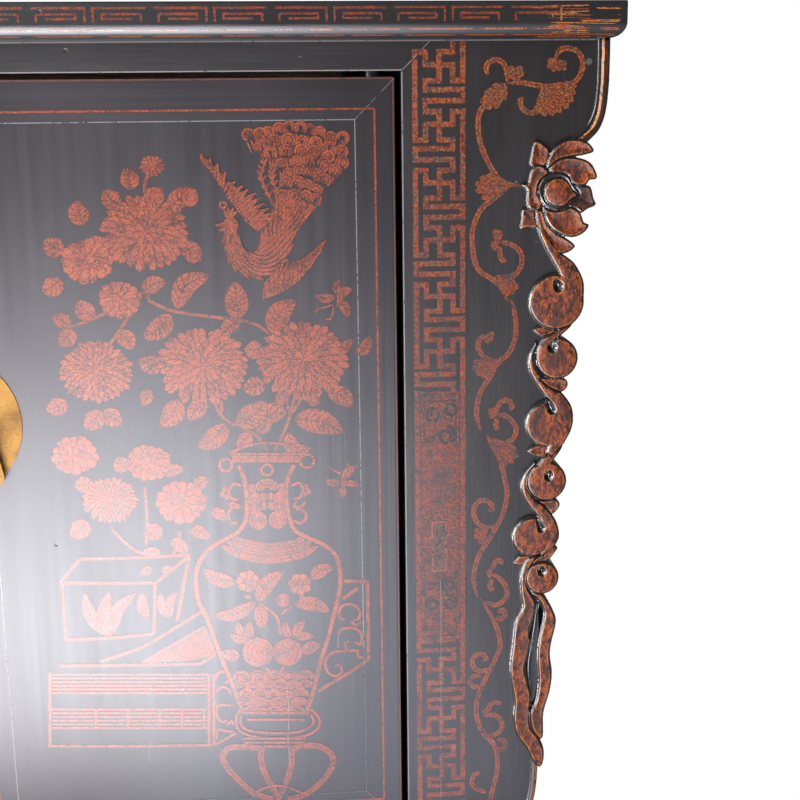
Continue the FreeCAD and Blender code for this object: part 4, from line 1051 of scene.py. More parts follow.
def outline(work, box, half_width, sides="LRTB", layer=0):
    """Straight strokes along sides of a rectangle: left, right, top, bottom."""
    left, right, low, high = box
    ends = {"L": ((left, low), (left, high)), "R": ((right, low), (right, high)),
            "T": ((left, high), (right, high)), "B": ((left, low), (right, low))}
    for side in sides:
        work.stroke(ends[side], half_width, "even", layer=layer, count=25)


# The joint round the panel is wide at the top and fades out low down at the right
seams = Brushwork()
outline(seams, panel_box, 0.45, "LT")
panel_left, panel_right, panel_low, panel_high = panel_box
fade_level = 344.0
seams.stroke(((panel_right, panel_high), (panel_right, fade_level)), 0.45, "even", count=25)
seams.stroke(((panel_right, fade_level), (panel_right, panel_low)), 0.2, "even", count=13)
outline(seams, panel_box, 0.15, "B")
mitre_reach = 36.0
panel_corners = ((panel_right, panel_high, 1, 1), (panel_left, panel_high, -1, 1),
                 (panel_right, panel_low, 1, -1), (panel_left, panel_low, -1, -1))
for x, z, outward, upward in panel_corners:
    mitre_end = (x + mitre_reach * outward, z + mitre_reach * upward)
    seams.stroke(((x, z), mitre_end), 0.22, "even", count=9)
# A long crack in the panel, and short ones where it has been knocked
panel_cracks = (
    ((287, 686), (289, 715), (288, 742), (291, 770)), ((160, 655), (165, 662), (170, 672)),
    ((150, 740), (149, 755), (151, 763)), ((340, 632), (338, 640), (339, 648)),
)
for points in panel_cracks:
    seams.stroke(seen(*points), 0.3, layer=6)
seams.dry("door_seams", door_bodies, seam_dust)
# The shelf bearer's tenon has lifted the post's paint along a crack below it
crack_places = ((460, 418), (461, 372), (460, 152))
post_crack = Brushwork()
post_crack.stroke(crack_places, 0.22, layer=8, count=25)
post_crack.dry("post_crack", on_carcass, seam_dust)
door_arrises = Brushwork()
outline(door_arrises, door_box, 0.8, "RTB")
door_arrises.dry("door_arrises", door_bodies, red_arris)
# The worn edges of the frame round the doors, its mitre, and the line under the top, pale partly as a
# painted highlight that their sharp arrises would catch: start, end, half width
frame_lines = (
    ((427.2, 150), (427.2, 895), 0.6), ((1, 896.7), (427, 896.7), 0.55),
    ((428, 897), (453, 922), 0.3), ((1, 922.2), (612, 922.2), 0.6),
)
frame_arrises = Brushwork()
for start, end, half_width in frame_lines:
    frame_arrises.stroke((start, end), half_width, "even", count=25)
frame_arrises.dry("frame_arrises", on_carcass, worn_arris_highlight)
# The end of the shelf bearer's tenon, standing proud of the worn paint round it
tenon_left, tenon_right, tenon_low, tenon_high = tenon_box
tenon_middle = (tenon_left + tenon_right) / 2
tenon_end = Brushwork()
tenon_end.stroke(((tenon_middle, tenon_low), (tenon_middle, tenon_high)), 6.4, "even", layer=4, count=9)
tenon_end.dry("tenon_end", on_carcass, tenon_face)
tenon_rim = Brushwork()
outline(tenon_rim, tenon_box, 0.6, layer=6)
tenon_rim.dry("tenon_rim", on_carcass, tenon_gold)


# Painting on the doors: a phoenix flying down over chrysanthemums in a vase on a stand, with a planter and
# books beside it, in cinnabar with veins and outlines left black. One drawing serves both doors, mirrored
# on the left one, as a pounced pattern would be.

door_paint = brush_paint("door_paint", 0.95, 0.75, 0.3)
phoenix = Brushwork()
rng = np.random.default_rng(11)


def bowed(base, tip, bend):
    """Three places from base to tip, the middle one moved aside by bend, a share of the length."""
    along = tip - base
    return base, base + along / 2 + bend * np.array((-along[1], along[0])), tip


def feather(base, tip, half_width, bend=0.1, layer=1):
    """One of the phoenix's feathers, bowed to one side, with a dark outline."""
    tone = rng.uniform(-0.1, 0.15)
    phoenix.stroke(bowed(base, tip, bend), half_width, "feather", tone, layer=layer, count=9)


def leaves(work, places, layer=1):
    """Leaves from base to tip, in picture points, with a bowed rib and a vein every few millimetres."""
    for base, tip, half_width, *own_bend in places:
        base, tip = seen(base, tip)
        bend = own_bend[0] if own_bend else 0.12
        veins = np.clip(np.linalg.norm(tip - base) / 4.2, 3.0, 9.0)
        work.stroke(bowed(base, tip, bend), half_width, "leaf", veins=veins, rib=1.0, layer=layer)


def lines(work, paths, half_width, shape="brush", rib=0.0, layer=0):
    """Lines of one width along paths of picture points."""
    for points in paths:
        work.stroke(seen(*points), half_width, shape, rib=rib, layer=layer, count=max(9, 7 * len(points)))


def ring(work, centre, radius, half_width):
    """A thin round ring."""
    work.stroke(arc(centre, radius, 0, 360), half_width, "even", count=21)


def disc(work, centre, radius, layer=1):
    """A filled round spot, as one short broad stroke."""
    low, high = (centre[0], centre[1] - radius), (centre[0], centre[1] + radius)
    work.stroke((low, high), radius, "drop", layer=layer, count=13)


def shells(work, centre, radius, shares, drift=0.0):
    """Spots one over another, each a share of the radius and moved aside by a drift."""
    for order, share in enumerate(shares):
        disc(work, centre + (drift * order, 0), radius * share, 3 + order)


def rosette(work, centre, inner, outer, petals, half_width, layer):
    """Petals in a ring, from an inner to an outer radius."""
    for turn in rng.uniform(0, 6) + 2 * np.pi * np.arange(petals) / petals:
        toward = np.array((math.cos(turn), math.sin(turn)))
        tone = rng.uniform(-0.1, 0.2)
        petal = (centre + inner * toward, centre + outer * toward)
        work.stroke(petal, half_width, "petal", tone, layer=layer, count=7)


# The phoenix: a tail fan of curled eyes over long feathers, a body and neck in an S, two wings and a crest
tail_rows = (
    ((248, 136), (294, 128), (341, 140), 10), ((262, 145), (302, 140), (342, 152), 7),
    ((271, 153), (308, 151), (341, 162), 6), ((283, 163), (309, 161), (335, 169), 5),
    ((288, 174), (306, 172), (324, 180), 4), ((286, 186), (301, 184), (316, 190), 4),
    ((283, 197), (300, 196), (315, 200), 4),
)
tail_root = spot((291, 238))
tail_tips = smooth(seen((278, 203), (298, 199), (318, 204)), 10)


def tail_eye(centre, layer):
    """Two curls, one in the other, with their backs turned from the root of the tail; some have a spot."""
    away = centre - tail_root
    heading = math.degrees(math.atan2(away[1], away[0])) + rng.normal(0, 12)
    size = rng.uniform(0.92, 1.08)
    spotted = rng.random() < 0.55
    curls = ((5.3, 1.5, 140), (2.6 if spotted else 3.3, 1.05, 165))
    for radius, half_width, reach in curls:
        curl = arc(centre, size * radius, heading - reach, heading + reach)
        phoenix.stroke(curl, half_width, "brush", rng.uniform(-0.1, 0.2), layer=layer, count=15)
    if spotted:
        disc(phoenix, centre, 1.5, layer)
    for share in (-0.6, 0.0, 0.6):
        start = centre - away / np.linalg.norm(away) * 5 + share * np.array((-away[1], away[0])) * 0.06
        feather(start, start - 0.12 * away, 1.2, 0.05, layer - 1)


for row, (left, middle, right, count) in enumerate(tail_rows):
    for eye in smooth(seen(left, middle, right), count):
        tail_eye(eye + rng.normal(0, 0.9, 2), 3 + 2 * row)
for order, tip in enumerate(tail_tips):
    feather(tail_root + 0.3 * (tip - tail_root), tip, 2.3, 0.05, 3 + order % 2)
    feather(tail_root, 0.45 * tail_root + 0.55 * tip, 2.1, 0.05, 5 + order % 2)


def feathered(points, half_widths, rows, columns, length, half_width):
    """Feathers in staggered rows over a curved band, like shingles; each row lies over the one before."""
    path, along, across, widths = band(points, half_widths, rows)
    for row in range(rows):
        for column in range(columns):
            share = (column + 0.5 * (row % 2)) / (columns - 0.5) * 2 - 1
            start = path[row] + across[row] * widths[row] * share
            tip = start - along[row] * length * rng.uniform(0.85, 1.15) + across[row] * 2.2 * share
            feather(start, tip, half_width, 0.12 * share, 6 + row)


phoenix_spine = (
    (289, 207), (284, 222), (277, 238), (273, 251), (264, 262), (251, 264), (239, 257), (233, 244),
    (231, 230),
)
spine_half_widths = (10, 12, 13.5, 13.5, 12.5, 12, 9.5, 7, 5.5)
feathered(seen(*phoenix_spine), spine_half_widths, rows=26, columns=7, length=11.0, half_width=2.2)
# Each wing: the line of its bones, and the line of its feathers' tips
phoenix_wings = (
    (((208, 166), (218, 183), (228, 200), (238, 214), (247, 225), (256, 232)), ((198, 151), (211, 159),
     (223, 169), (237, 183), (247, 189), (257, 195), (264, 203), (270, 211), (274, 218))),
    (((264, 300), (276, 297), (288, 291), (298, 282), (307, 271), (315, 260)), ((266, 281), (275, 272),
     (284, 264), (293, 262), (302, 259), (310, 254), (317, 249), (326, 241))),
)
# Rows of coverts, each a share of the way to the tips and a half width, over long feathers at every other
# place
covert_rows = ((0.8, 2.3), (0.58, 2.2), (0.36, 2.0), (0.18, 1.7))
wing_feathers = 26
head_layer = 42
long_feather_layer = 34
for bones, tips in phoenix_wings:
    bone_line, tip_line = smooth(seen(*bones), wing_feathers), smooth(seen(*tips), wing_feathers)
    for order, (start, end) in enumerate(zip(bone_line, tip_line)):
        reach = end - start
        for share, half_width in covert_rows:
            tip = start + share * reach + rng.normal(0, 0.7, 2)
            feather(start + 0.4 * share * reach, tip, half_width, 0.1, head_layer - 8 * share + order % 2)
        if order % 2:
            feather(start + 0.25 * reach, start + 1.08 * reach, 2.8, 0.12, long_feather_layer)
# The head with its crest, beak and wattles, then the two thin plumes behind the back
head = spot((231, 225))
crest_ring = spot((223, 205))
disc(phoenix, head, 7.6, head_layer)
rosette(phoenix, head, inner=1.6, outer=6.8, petals=9, half_width=2.0, layer=head_layer + 1)
ring(phoenix, crest_ring, 2.7, 1.3)
head_sprays = (
    ((227, 222), 2.6, ((215, 225),)), ((227, 227), 2.0, ((218, 230),)),
    ((227, 232), 2.8, ((222, 243), (226, 246))),
    ((230, 219), 2.2, ((224, 209), (229, 206), (234, 207), (238, 211))),
)
for base, half_width, tips in head_sprays:
    for tip in tips:
        feather(*seen(base, tip), half_width, layer=head_layer)
phoenix_plumes = (
    ((276, 210), (268, 194), (261, 177), (264, 164)), ((277, 207), (275, 190), (272, 176), (275, 168)),
)
for points in phoenix_plumes:
    lines(phoenix, (points,), 1.5)
    for point in smooth(seen(*points), 8)[2:]:
        feather(point, point + (4.5, 5.5), 1.2)
        feather(point, point + (-3.5, 5.0), 1.1)
phoenix.dry("door_phoenix", door_bodies, door_paint)

# The flowers: chrysanthemums with rows of petals, then branches, leaves and buds
flowers = Brushwork()
flower_squash = 0.87


def chrysanthemum(centre, reach, rows):
    """Rows of petals, outermost first: petal k of n runs out at angle 2 pi k / n, between two shares of
    the reach, and broadens to a round tip that just meets its neighbours."""
    for order, (petals, start, end) in enumerate(rows):
        for turn in rng.uniform(0, 6) + 2 * np.pi * np.arange(petals) / petals:
            lean = turn + rng.normal(0, 0.04)
            inner = reach * start * np.array((math.cos(turn), flower_squash * math.sin(turn)))
            toward = np.array((math.cos(lean), flower_squash * math.sin(lean)))
            outer = reach * end * rng.uniform(0.93, 1.05) * toward
            middle = (inner + outer) / 2 + 0.06 * math.cos(turn) * np.array((-outer[1], outer[0]))
            half_width = 1.3 * math.pi * reach * end / petals
            path = centre + np.stack([inner, middle, outer])
            tone = rng.uniform(-0.1, 0.15)
            flowers.stroke(path, half_width, "petal", tone, layer=1 + 2 * order, count=11)


full_rows = ((32, 0.45, 1.0), (30, 0.34, 0.84), (25, 0.20, 0.67), (18, 0.08, 0.48), (10, 0.0, 0.3))
small_rows = ((14, 0.3, 1.0), (10, 0.1, 0.65), (5, 0.0, 0.35))
flower_places = (
    ((203, 367), 42.5, full_rows), ((303, 361), 43.5, full_rows), ((145, 233), 40, full_rows),
    ((152, 166), 11, small_rows), ((120, 300), 20, small_rows), ((86, 262), 24, small_rows),
    ((96, 372), 34, full_rows), ((181, 502), 25, small_rows), ((148, 463), 21, small_rows),
    ((110, 500), 26, full_rows), ((75, 455), 22, small_rows),
)
for centre, reach, rows in flower_places:
    chrysanthemum(spot(centre), reach, rows)
branches = (
    ((60, 330), (95, 318), (142, 293), (150, 301), (173, 311), (205, 316), (237, 320), (257, 325),
     (272, 336)),
    ((268, 452), (258, 437), (243, 428), (228, 421), (218, 411), (213, 396)),
    ((274, 452), (282, 436), (288, 422), (292, 406), (296, 394)), ((290, 416), (285, 394)),
    ((290, 416), (304, 396), (308, 402)), ((222, 414), (221, 400)),
    ((145, 196), (145, 182), (149, 174)), ((165, 222), (172, 210), (180, 203)),
    ((142, 293), (120, 330), (104, 352)), ((180, 530), (178, 545), (172, 556)),
    ((145, 486), (147, 520), (146, 546)), ((110, 527), (128, 545), (150, 558)),
)
lines(flowers, branches, 2.0, rib=0.6)
# Leaves: base, tip, half width, bow
leaf_places = (
    ((176, 309), (210, 275), 10.5, 0.2), ((143, 292), (166, 281), 8.5, 0.1),
    ((171, 314), (142, 338), 10.5, 0.1), ((238, 320), (235, 281), 11.5, 0.0),
    ((240, 321), (222, 335), 8.0, -0.1), ((273, 335), (296, 300), 11.5, 0.15),
    ((343, 354), (353, 339), 5.0, 0.1), ((357, 355), (370, 336), 6.5, -0.1),
    ((327, 392), (352, 407), 9.5, 0.15), ((263, 348), (244, 350), 9.5, 0.05),
    ((263, 380), (243, 389), 10.0, 0.1), ((178, 399), (160, 426), 11.0, 0.12),
    ((208, 402), (189, 421), 9.0, -0.1), ((226, 423), (197, 447), 10.5, 0.12),
    ((236, 424), (266, 401), 12.5, -0.1), ((264, 420), (287, 414), 10.5, 0.2),
    ((268, 417), (256, 434), 7.0, 0.1), ((250, 432), (236, 446), 7.5, 0.1),
    ((294, 419), (343, 432), 12.5, 0.08), ((288, 432), (312, 449), 8.0, -0.35),
    ((286, 392), (274, 402), 6.5, 0.2), ((306, 396), (318, 406), 6.0, 0.2),
    ((148, 205), (163, 189), 8.5, 0.1), ((168, 210), (198, 191), 9.5, 0.1),
    ((180, 245), (201, 262), 9.0, 0.1), ((148, 389), (142, 405), 7.0, 0.1),
    ((163, 365), (138, 360), 9.5, 0.1), ((100, 345), (78, 352), 9.5, 0.1),
    ((118, 332), (132, 350), 9.0, 0.1), ((95, 318), (78, 300), 9.5, 0.1),
    ((70, 326), (52, 318), 8.0, -0.1), ((70, 328), (60, 346), 9.0, 0.1),
    ((108, 250), (92, 236), 9.0, 0.1), ((120, 205), (104, 190), 9.5, 0.1),
    ((130, 190), (124, 168), 9.0, -0.1), ((100, 410), (84, 428), 10.0, 0.1),
    ((106, 408), (122, 424), 9.5, -0.1), ((66, 400), (46, 410), 9.0, 0.1),
    ((64, 250), (44, 240), 10.0, 0.1), ((60, 278), (42, 292), 10.0, 0.1),
    ((84, 225), (78, 200), 10.0, 0.1), ((164, 475), (185, 469), 6.5, 0.1),
    ((211, 510), (226, 521), 6.5, 0.1), ((160, 525), (144, 536), 9.0, 0.1),
    ((128, 470), (118, 456), 9.0, 0.1), ((86, 520), (70, 536), 10.0, 0.1),
    ((92, 480), (74, 486), 9.0, 0.1), ((190, 530), (210, 539), 7.0, 0.1),
    ((196, 489), (209, 478), 7.0, 0.1), ((171, 540), (187, 555), 7.0, 0.1),
    ((142, 557), (162, 552), 6.5, 0.1),
)
leaves(flowers, leaf_places)
bud_places = (((190, 198), 8.0), ((157, 197), 7.0), ((193, 256), 7.0), ((281, 397), 5.5), ((313, 401), 5.0))
for centre, radius in bud_places:
    disc(flowers, spot(centre), radius, 3)
    disc(flowers, spot(centre) + (0.12 * radius, 0.1 * radius), 0.6 * radius, 4)
# Two insects: wings and body, then thin legs and feelers
insect_leaves = (
    ((335, 297), (315, 295), 5.0), ((337, 294), (340, 280), 4.5), ((340, 296), (352, 289), 5.0),
    ((339, 301), (348, 318), 5.5), ((338, 288), (337, 308), 3.5), ((340, 482), (325, 480), 4.5),
    ((343, 479), (357, 466), 4.8), ((345, 484), (359, 486), 4.0), ((342, 486), (341, 498), 4.0),
    ((342, 474), (342, 490), 3.0),
)
leaves(flowers, insect_leaves)
insect_lines = (
    ((334, 304), (326, 307), (317, 309), (316, 313)), ((333, 304), (333, 312), (330, 319), (326, 319)),
    ((341, 474), (335, 471), (329, 467)), ((343, 474), (346, 468), (349, 463)),
)
lines(flowers, insect_lines, 0.9)
flowers.dry("door_flowers", door_bodies, door_paint)

# The vase with its stand, its own flowers and fruit, and the bracket beside it; planter and books at its
# left; and the line that borders each door
vessels = Brushwork()
outline(vessels, border_box, 1.25)
# Broad outlines of the vase's neck and body, then its mouth, foot and the oval ring of the stand
vase_sides = (
    ((238, 465), (243, 475), (246, 490), (247, 506), (245.6, 520), (240, 530), (231.5, 536),
     (213, 546), (203, 556), (197, 569), (196, 584), (199, 602), (207, 618), (215, 641), (225, 666),
     (235, 691), (243, 713)),
    ((294, 465), (288, 478), (286, 491), (287, 506), (290, 520), (296, 531), (309, 538), (326, 546),
     (336, 556), (340, 571), (340, 586), (337, 602), (328, 638), (321, 660), (313, 693), (306, 713)),
)
lines(vessels, vase_sides, 2.7, "even", layer=3)
vase_lines = (
    ((231, 452), (250, 445), (268, 443), (286, 445), (301, 452)), ((231, 454), (302, 454)),
    ((241, 713), (309, 713)), ((247, 719.5), (305, 719.5)),
    ((241, 708), (236, 719), (240, 731), (258, 737), (280, 738), (304, 736), (318, 728), (319, 718),
     (311, 709)),
    ((241, 715), (241, 723), (248, 730), (275, 733), (301, 731), (313, 723), (311, 714)),
    ((243, 738.5), (305, 738.5)), ((244, 742.5), (305, 742.5)), ((245, 746.5), (304, 746.5)),
)
lines(vessels, vase_lines, 1.75, "even", layer=6)
vase_legs = (
    ((262, 748), (245, 747), (229, 748), (223, 756), (227, 767), (241, 782), (256, 794), (273, 799)),
    ((294, 748), (302, 746), (319, 746), (331, 754), (333, 764), (324, 779), (306, 794), (288, 799)),
    ((263, 747), (261, 759), (266, 776), (280, 799)), ((292, 748), (291, 766), (286, 782), (279, 797)),
)
for points in vase_legs:
    vessels.stroke(seen(*points), 3.7, "even", veins=len(points) * 6.0, rib=0.5, layer=2, count=41)
leg_tie = ((256, 792), (268, 787), (283, 786), (303, 793))
lines(vessels, (leg_tie,), 2.0, layer=4)
vase_rings = (((225.7, 465), 6.0), ((307, 461), 6.6), ((267, 470), 5.4))
for centre, radius in vase_rings:
    ring(vessels, spot(centre), radius, 1.7)
# The hatched rim and the collar on the shoulder
vase_rim = ((232, 458.8), (301, 458.8))
vessels.stroke(seen(*vase_rim), 4.3, "even", veins=30.0, rib=0.4, layer=1, count=25)
collar_bands = (
    ((221, 545), (243, 556), (270, 560), (298, 556), (318, 546)),
    ((226, 541), (245, 549.5), (270, 553.5), (297, 549.5), (312, 541)),
    ((232, 537.5), (247, 543), (270, 546.5), (294, 543), (305, 537.5)),
)
for points in collar_bands:
    vessels.stroke(seen(*points), 4.2, veins=34.0, rib=0.5, layer=1, count=41)
# The mask on the neck: an arched brow, two columns of scrolls and two round cheeks; then the curled handles
mask = spot((267, 491))
brow_radii = (11.2, 7.9, 4.6)
for radius in brow_radii:
    vessels.stroke(arc(mask, radius, 0, 180), 1.75, layer=3, count=17)
mask_knobs = (
    ((14.0, 3.0), 4.8), ((11.8, -7.5), 6.6), ((12.2, -18.5), 6.2), ((3.6, -14.5), 4.4),
    ((3.6, -5.5), 4.2), ((9.5, -29.0), 9.4),
)
for hand in (-1, 1):
    for (across, up), radius in mask_knobs:
        shells(vessels, mask + (across * hand, up), radius, (1.0, 0.68, 0.36))
handle_lines = (
    ((242, 486), (234, 484), (229, 490), (231, 498), (239, 500)),
    ((241, 507), (233, 503), (231, 506), (238, 508)),
    ((240, 508), (232, 508), (228, 515), (231, 522), (238, 523)),
    ((291, 486), (299, 483), (303, 489), (300, 497), (293, 499)),
    ((305, 501), (302, 506), (295, 507), (296, 501)),
    ((296, 509), (304, 511), (306, 518), (300, 523), (292, 520)),
)
lines(vessels, handle_lines, 1.9, layer=1)
handle_knobs = ((225, 489), (222.5, 494), (227, 497), (306, 487), (308.5, 491.5), (304.5, 494))
for centre in handle_knobs:
    disc(vessels, spot(centre), 3.0)
vase_leaves = (
    ((236, 582), (203, 569), 8.0), ((258, 602), (284, 571), 8.5), ((311, 579), (334, 567), 7.5),
    ((256, 602), (212, 616), 7.5), ((257, 606), (260, 629), 7.5), ((294, 604), (330, 612), 8.0),
    ((240, 655), (222, 651), 7.0), ((302, 654), (321, 645), 7.0), ((250, 640), (237, 621), 5.5),
    ((250, 640), (229, 634), 5.0), ((253, 638), (250, 621), 5.0), ((291, 638), (285, 621), 5.0),
    ((295, 637), (305, 621), 5.5), ((296, 639), (314, 637), 5.0), ((252, 597), (244, 594), 3.0),
    ((299, 598), (305, 596), 3.0),
)
leaves(vessels, vase_leaves, layer=2)
vase_stems = (
    ((258, 603), (276, 616), (280.5, 636)), ((292, 606), (281, 614)), ((266, 667), (274, 678)),
    ((284, 666), (277, 679)),
)
lines(vessels, vase_stems, 1.7)
vase_blossoms = ((248, 581), (300, 584))
for middle in vase_blossoms:
    rosette(vessels, spot(middle), inner=2.5, outer=11.5, petals=7, half_width=6.0, layer=2)
    disc(vessels, spot(middle), 3.8, 4)
# Fruit, drawn as shells one over another: middle, radius, and how each shell is moved as a share of it
vase_fruit = (((283, 600), 7.2, 0.0), ((258, 652), 15.6, 0.10), ((288, 652), 14.6, -0.10))
for middle, radius, shift in vase_fruit:
    shells(vessels, spot(middle), radius, (1.0, 0.8, 0.6, 0.4, 0.2), radius * shift)
# Rocks and waves under the fruit: arcs one inside another, each row in front of the one before. A row has a
# level, a count and a reach to each side
wave_middle = 273.5
wave_rows = ((675, 5, 32.0), (684, 6, 32.0), (692, 5, 27.0), (701, 6, 26.0), (709, 5, 22.0))
for row, (level, count, reach) in enumerate(wave_rows):
    for across in np.linspace(wave_middle - reach, wave_middle + reach, count):
        crest = spot((across, level)) - (0, 4)
        for share in (1.0, 0.72, 0.44, 0.16):
            radius = rng.uniform(7.4, 9.0)
            vessels.stroke(arc(crest, radius * share, -10, 190), 0.13 * radius, layer=row, count=13)
# The bracket: a frame of straight bars filled with scrolls
bracket_bars = (
    ((367.5, 580), (368, 620), (368.5, 660)), ((369, 659), (345, 675), (318, 691)),
    ((344, 581), (369, 581.5)), ((343, 599), (358, 588)),
)
lines(vessels, bracket_bars, 2.4, "even", rib=0.4)
bracket_scrolls = (
    ((345, 619), (341, 619), (339, 613), (342, 606), (349, 604), (356, 606), (360, 613), (357, 620),
     (353, 619)),
    ((338, 634), (342, 629), (350, 628), (358, 630), (362, 637), (360, 644), (355, 642)),
    ((362, 650), (348, 651), (334, 652), (326, 660), (327, 671), (335, 676), (342, 671), (339, 665),
     (335, 666)),
    ((347, 650), (345, 644), (349, 641)), ((357, 651), (359, 657), (364, 657)),
    ((351, 621), (356, 625), (362, 622)),
)
lines(vessels, bracket_scrolls, 1.9)
# The planter: a slatted box seen from a corner, flowers in its panels, over a hatched sloping side
planter_bars = (
    ((60, 583), (100, 583), (157, 583)), ((157, 582), (189, 556)), ((80, 559), (130, 558), (190, 555)),
    ((155, 584), (154, 634)), ((189, 556), (177, 621)), ((62, 585), (66, 640)), ((80, 559), (60, 583)),
    ((201, 612), (170, 631), (142, 647), (100, 662)), ((66, 640), (110, 638), (154, 634)),
    ((204, 627), (215, 655)), ((215, 655), (200, 664)), ((200, 664), (140, 665), (60, 666)),
    ((204, 627), (142, 663)),
)
lines(vessels, planter_bars, 2.1, "even", rib=0.5)
planter_leaves = (
    ((169, 618), (161, 592), 5.0), ((170, 618), (177, 590), 5.0), ((148, 618), (143, 592), 6.0),
    ((110, 636), (84, 592), 7.0), ((110, 636), (136, 592), 7.0), ((110, 636), (110, 590), 7.0),
    ((164, 575), (172, 566), 5.0), ((150, 566), (140, 574), 5.0),
)
leaves(vessels, planter_leaves)
# The hatching leans to the right, and the first lines are cut short by the side's edge
hatch_from, hatch_to, hatch_count = (204, 628), (147, 662), 34
hatch_lean, side_edge, short_lines = 9, 215, 20
for order, top in enumerate(np.linspace(hatch_from, hatch_to, hatch_count)):
    foot_across = min(top[0] + hatch_lean, side_edge - order / 3)
    foot_down = hatch_to[1] - 0.2 * max(0, short_lines - order)
    lines(vessels, ((top, (foot_across, foot_down)),), 0.8)
# The books: bands of ruled pages with covers, and a scrolled stand at their end
page_levels = (674.5, 678.2, 681.9, 685.6, 689.3, 693, 709.5, 713.2, 716.9, 720.6, 724.3, 728)
page_places = (52, 130, 208)
lines(vessels, [[(across, level) for across in page_places] for level in page_levels], 1.45, "even")
book_backs = (96, 128, 160, 182, 204)
back_top, back_foot = 710, 729
lines(vessels, [((across, back_top), (across, back_foot)) for across in book_backs], 1.2, "even", layer=2)
book_frame = (
    ((209, 674), (209, 744)), ((213.5, 674), (214, 745)), ((48, 746), (142, 746), (216, 745)),
    ((215, 745), (236, 733)), ((50, 672), (50, 746)),
)
lines(vessels, book_frame, 1.9, "even", layer=1)
book_scrolls = (
    ((215, 682), (218, 673), (226, 672), (229, 679), (225, 684)),
    ((231, 696), (229, 690), (222, 687), (216, 692)),
    ((236, 706), (226, 705), (217, 707), (217, 716), (222, 722), (229, 719)),
    ((216, 740), (218, 730), (226, 731), (235, 732)), ((227, 726), (231, 721), (234, 725)),
)
lines(vessels, book_scrolls, 1.8)
vessels.dry("door_vessels", door_bodies, door_paint)


# Brass: one round lock plate in two halves, a ring and eye on each half and a peach-shaped pull that hangs
# from it; cast and hammered, filed smooth, gone brown with touches of green in the hollows.

brass, place = new_surface("brass")
tarnish = noise(place, 34, detail=6.0)
scratches = noise(place, 1.2, (6, 6, 0.6))
hollows = noise(place, 2.4, detail=5.0)
handled, browned, greened = tint(106, 79, 42), tint(70, 50, 29), tint(76, 66, 44)
brass_colour = blend(ease(tarnish + 0.3 * hollows, 0.4, 0.9), handled, browned)
brass_colour = blend(ease(hollows + 0.2 * tarnish, 0.68, 0.84), brass_colour, greened)
brass_roughness = 0.42 + 0.2 * tarnish + 0.08 * scratches
brass_sockets = {"Base Color": brass_colour, "Metallic": 1.0, "Roughness": brass_roughness}
shaded(place, 0.4 * hollows + 0.25 * scratches, 0.0003, brass_sockets)
for side in ("left", "right"):
    coat(brass, *(f"{side}_door_{piece}" for piece in ("lock_plate", "ring_and_eye", "pull")))


# Inside and back: boards and rails of plain northern elm left without lacquer, planed by hand and gone
# brown and dusty; the grain runs along each board.

wood_colours = ((92, 64, 42), (136, 100, 68), (66, 44, 30), (58, 42, 32))


def bare_wood(name, grain, shade):
    """Unfinished wood: long grain lines, broad figure and dark stains; shade scales all of its colours."""
    material, place = new_surface(name)
    along = tuple(28.0 if axis == grain else 1.0 for axis in "XYZ")
    wide_along = tuple(7.0 if axis == grain else 1.0 for axis in "XYZ")
    fibres = noise(place, 1.6, along, 4.0)
    figure = noise(place, 26, wide_along, 5.0)
    stains = noise(place, 120)
    heart, sap, pores, dirt = (tint(*(shade * part for part in colour)) for colour in wood_colours)
    colour = blend(ease(figure, 0.3, 0.7), heart, sap)
    colour = blend(ease(fibres, 0.55, 0.75) * 0.55, colour, pores)
    colour = blend(ease(stains, 0.55, 0.75) * 0.4, colour, dirt)
    shaded(place, fibres + 0.5 * figure, 0.0004, {"Base Color": colour, "Roughness": 0.55 + 0.2 * fibres})
    return material


wood_across = bare_wood("wood_across", "X", 1.0)
wood_back = bare_wood("wood_back", "Y", 1.06)
wood_up = bare_wood("wood_up", "Z", 1.03)
wood_smoked = bare_wood("wood_smoked", "Z", 0.48)
coat(wood_across, "shelf_board", "floor_board", "shelf_front_rail", "shelf_back_rail", "back_top_rail",
     "back_bottom_rail", "door_stop_top", "door_stop_bottom", "left_door_battens", "right_door_battens")
coat(wood_back, "shelf_bearer_left", "shelf_bearer_right", "floor_battens", "top_battens")
coat(wood_up, "back_panel_left", "back_panel_right", "back_stile")
coat(wood_smoked, "back_post_left", "back_post_right")


# Room: a pale studio floor, light from all round, a soft lamp high on the left and a low panel in front
# that makes the long reflection on the doors. The camera stands where the photograph was taken from.

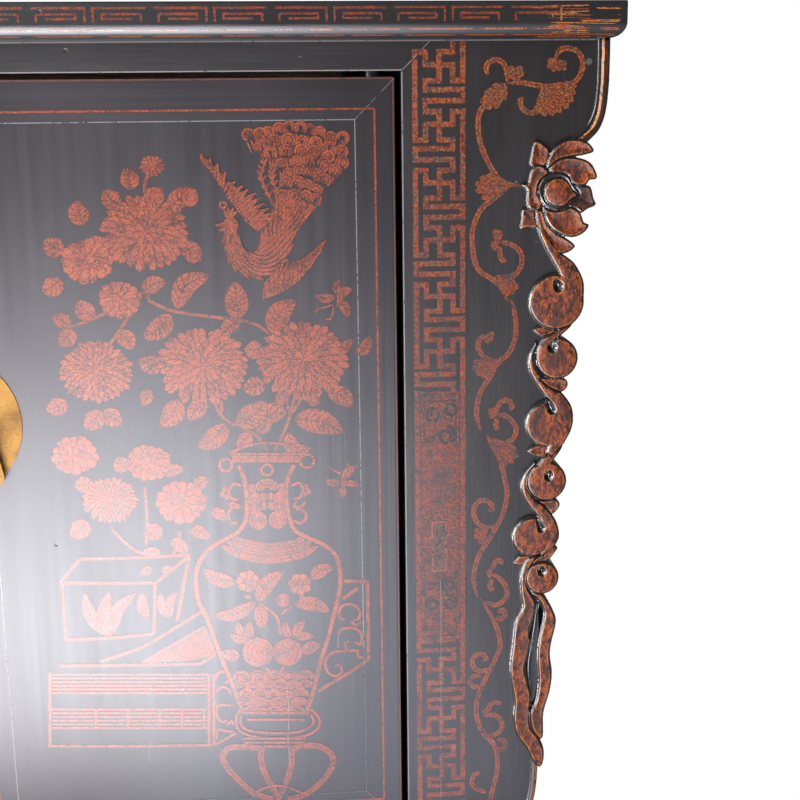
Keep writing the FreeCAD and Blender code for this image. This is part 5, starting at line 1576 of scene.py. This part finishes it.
floor_material, place = new_surface("floor")
floor_light = place.node("ShaderNodeBsdfDiffuse", {}, {"Color": tint(226, 224, 222)})
floor_seen = place.node("ShaderNodeEmission", {}, {"Color": (1, 1, 1, 1), "Strength": 1.0})
to_camera = place.node("ShaderNodeLightPath", {}, {}, "Is Camera Ray")
floor_mix = place.node("ShaderNodeMixShader", {}, {0: to_camera, 1: floor_light, 2: floor_seen})
place.node("ShaderNodeOutputMaterial", {}, {"Surface": floor_mix})
floor_reach = 15.0
floor_level = -0.001
floor_turns = ((-1, -1), (1, -1), (1, 1), (-1, 1))
floor_corners = [(x * floor_reach, y * floor_reach, floor_level) for x, y in floor_turns]
floor_mesh = bpy.data.meshes.new("floor")
floor_mesh.from_pydata(floor_corners, [], [(0, 1, 2, 3)])
floor_mesh.materials.append(floor_material)
floor = bpy.data.objects.new("floor", floor_mesh)
bpy.context.scene.collection.objects.link(floor)

world = bpy.data.worlds.new("room")
world.use_nodes = True
room = Wire(world.node_tree)
world.node_tree.nodes.clear()
seen_directly = room.node("ShaderNodeLightPath", {}, {}, "Is Camera Ray")
room_level = 0.24
strength = room_level + (1 - room_level) * seen_directly
sky = room.node("ShaderNodeBackground", {}, {"Color": (1, 1, 1, 1), "Strength": strength})
room.node("ShaderNodeOutputWorld", {}, {"Surface": sky})
bpy.context.scene.world = world


def lamp(name, place, aim, width, height, watts, colour=(1, 1, 1), lights_all=True):
    """A soft rectangular lamp at a place, facing a point, both in metres; one that does not light all shows
    only in reflections."""
    light = bpy.data.lights.new(name, "AREA")
    light.shape = "RECTANGLE"
    light.size = width
    light.size_y = height
    light.energy = watts
    light.color = colour
    holder = bpy.data.objects.new(name, light)
    toward = Vector(aim) - Vector(place)
    holder.matrix_world = Matrix.Translation(place) @ toward.to_track_quat("-Z", "Y").to_matrix().to_4x4()
    holder.visible_diffuse = lights_all
    bpy.context.scene.collection.objects.link(holder)


lamp("high_lamp", (-1.5, -1.7, 1.9), (0.1, -0.2, 0.5), 1.4, 1.4, 58)
lamp("side_lamp", (-1.9, -0.8, 0.7), (0.5, -0.2, 0.6), 0.7, 1.4, 60)
lamp("window_patch", (-0.30, -1.62, 0.02), (-0.30, -1.62, 1.0), 1.1, 1.92, 180, (0.92, 0.92, 0.97), False)
lamp("fill_patch", (0.37, -1.42, 0.015), (0.37, -1.42, 1.0), 0.48, 1.96, 13.5, (0.76, 0.82, 1.0), False)

scene = bpy.context.scene
scene.view_settings.view_transform = "Standard"
camera_data = bpy.data.cameras.new("camera")
camera_data.lens = camera_data.sensor_width * picture_focal / picture_width
camera = bpy.data.objects.new("camera", camera_data)
camera.matrix_world = Matrix.Translation(eye_place / 1000) @ eye_turn
scene.collection.objects.link(camera)
scene.camera = camera
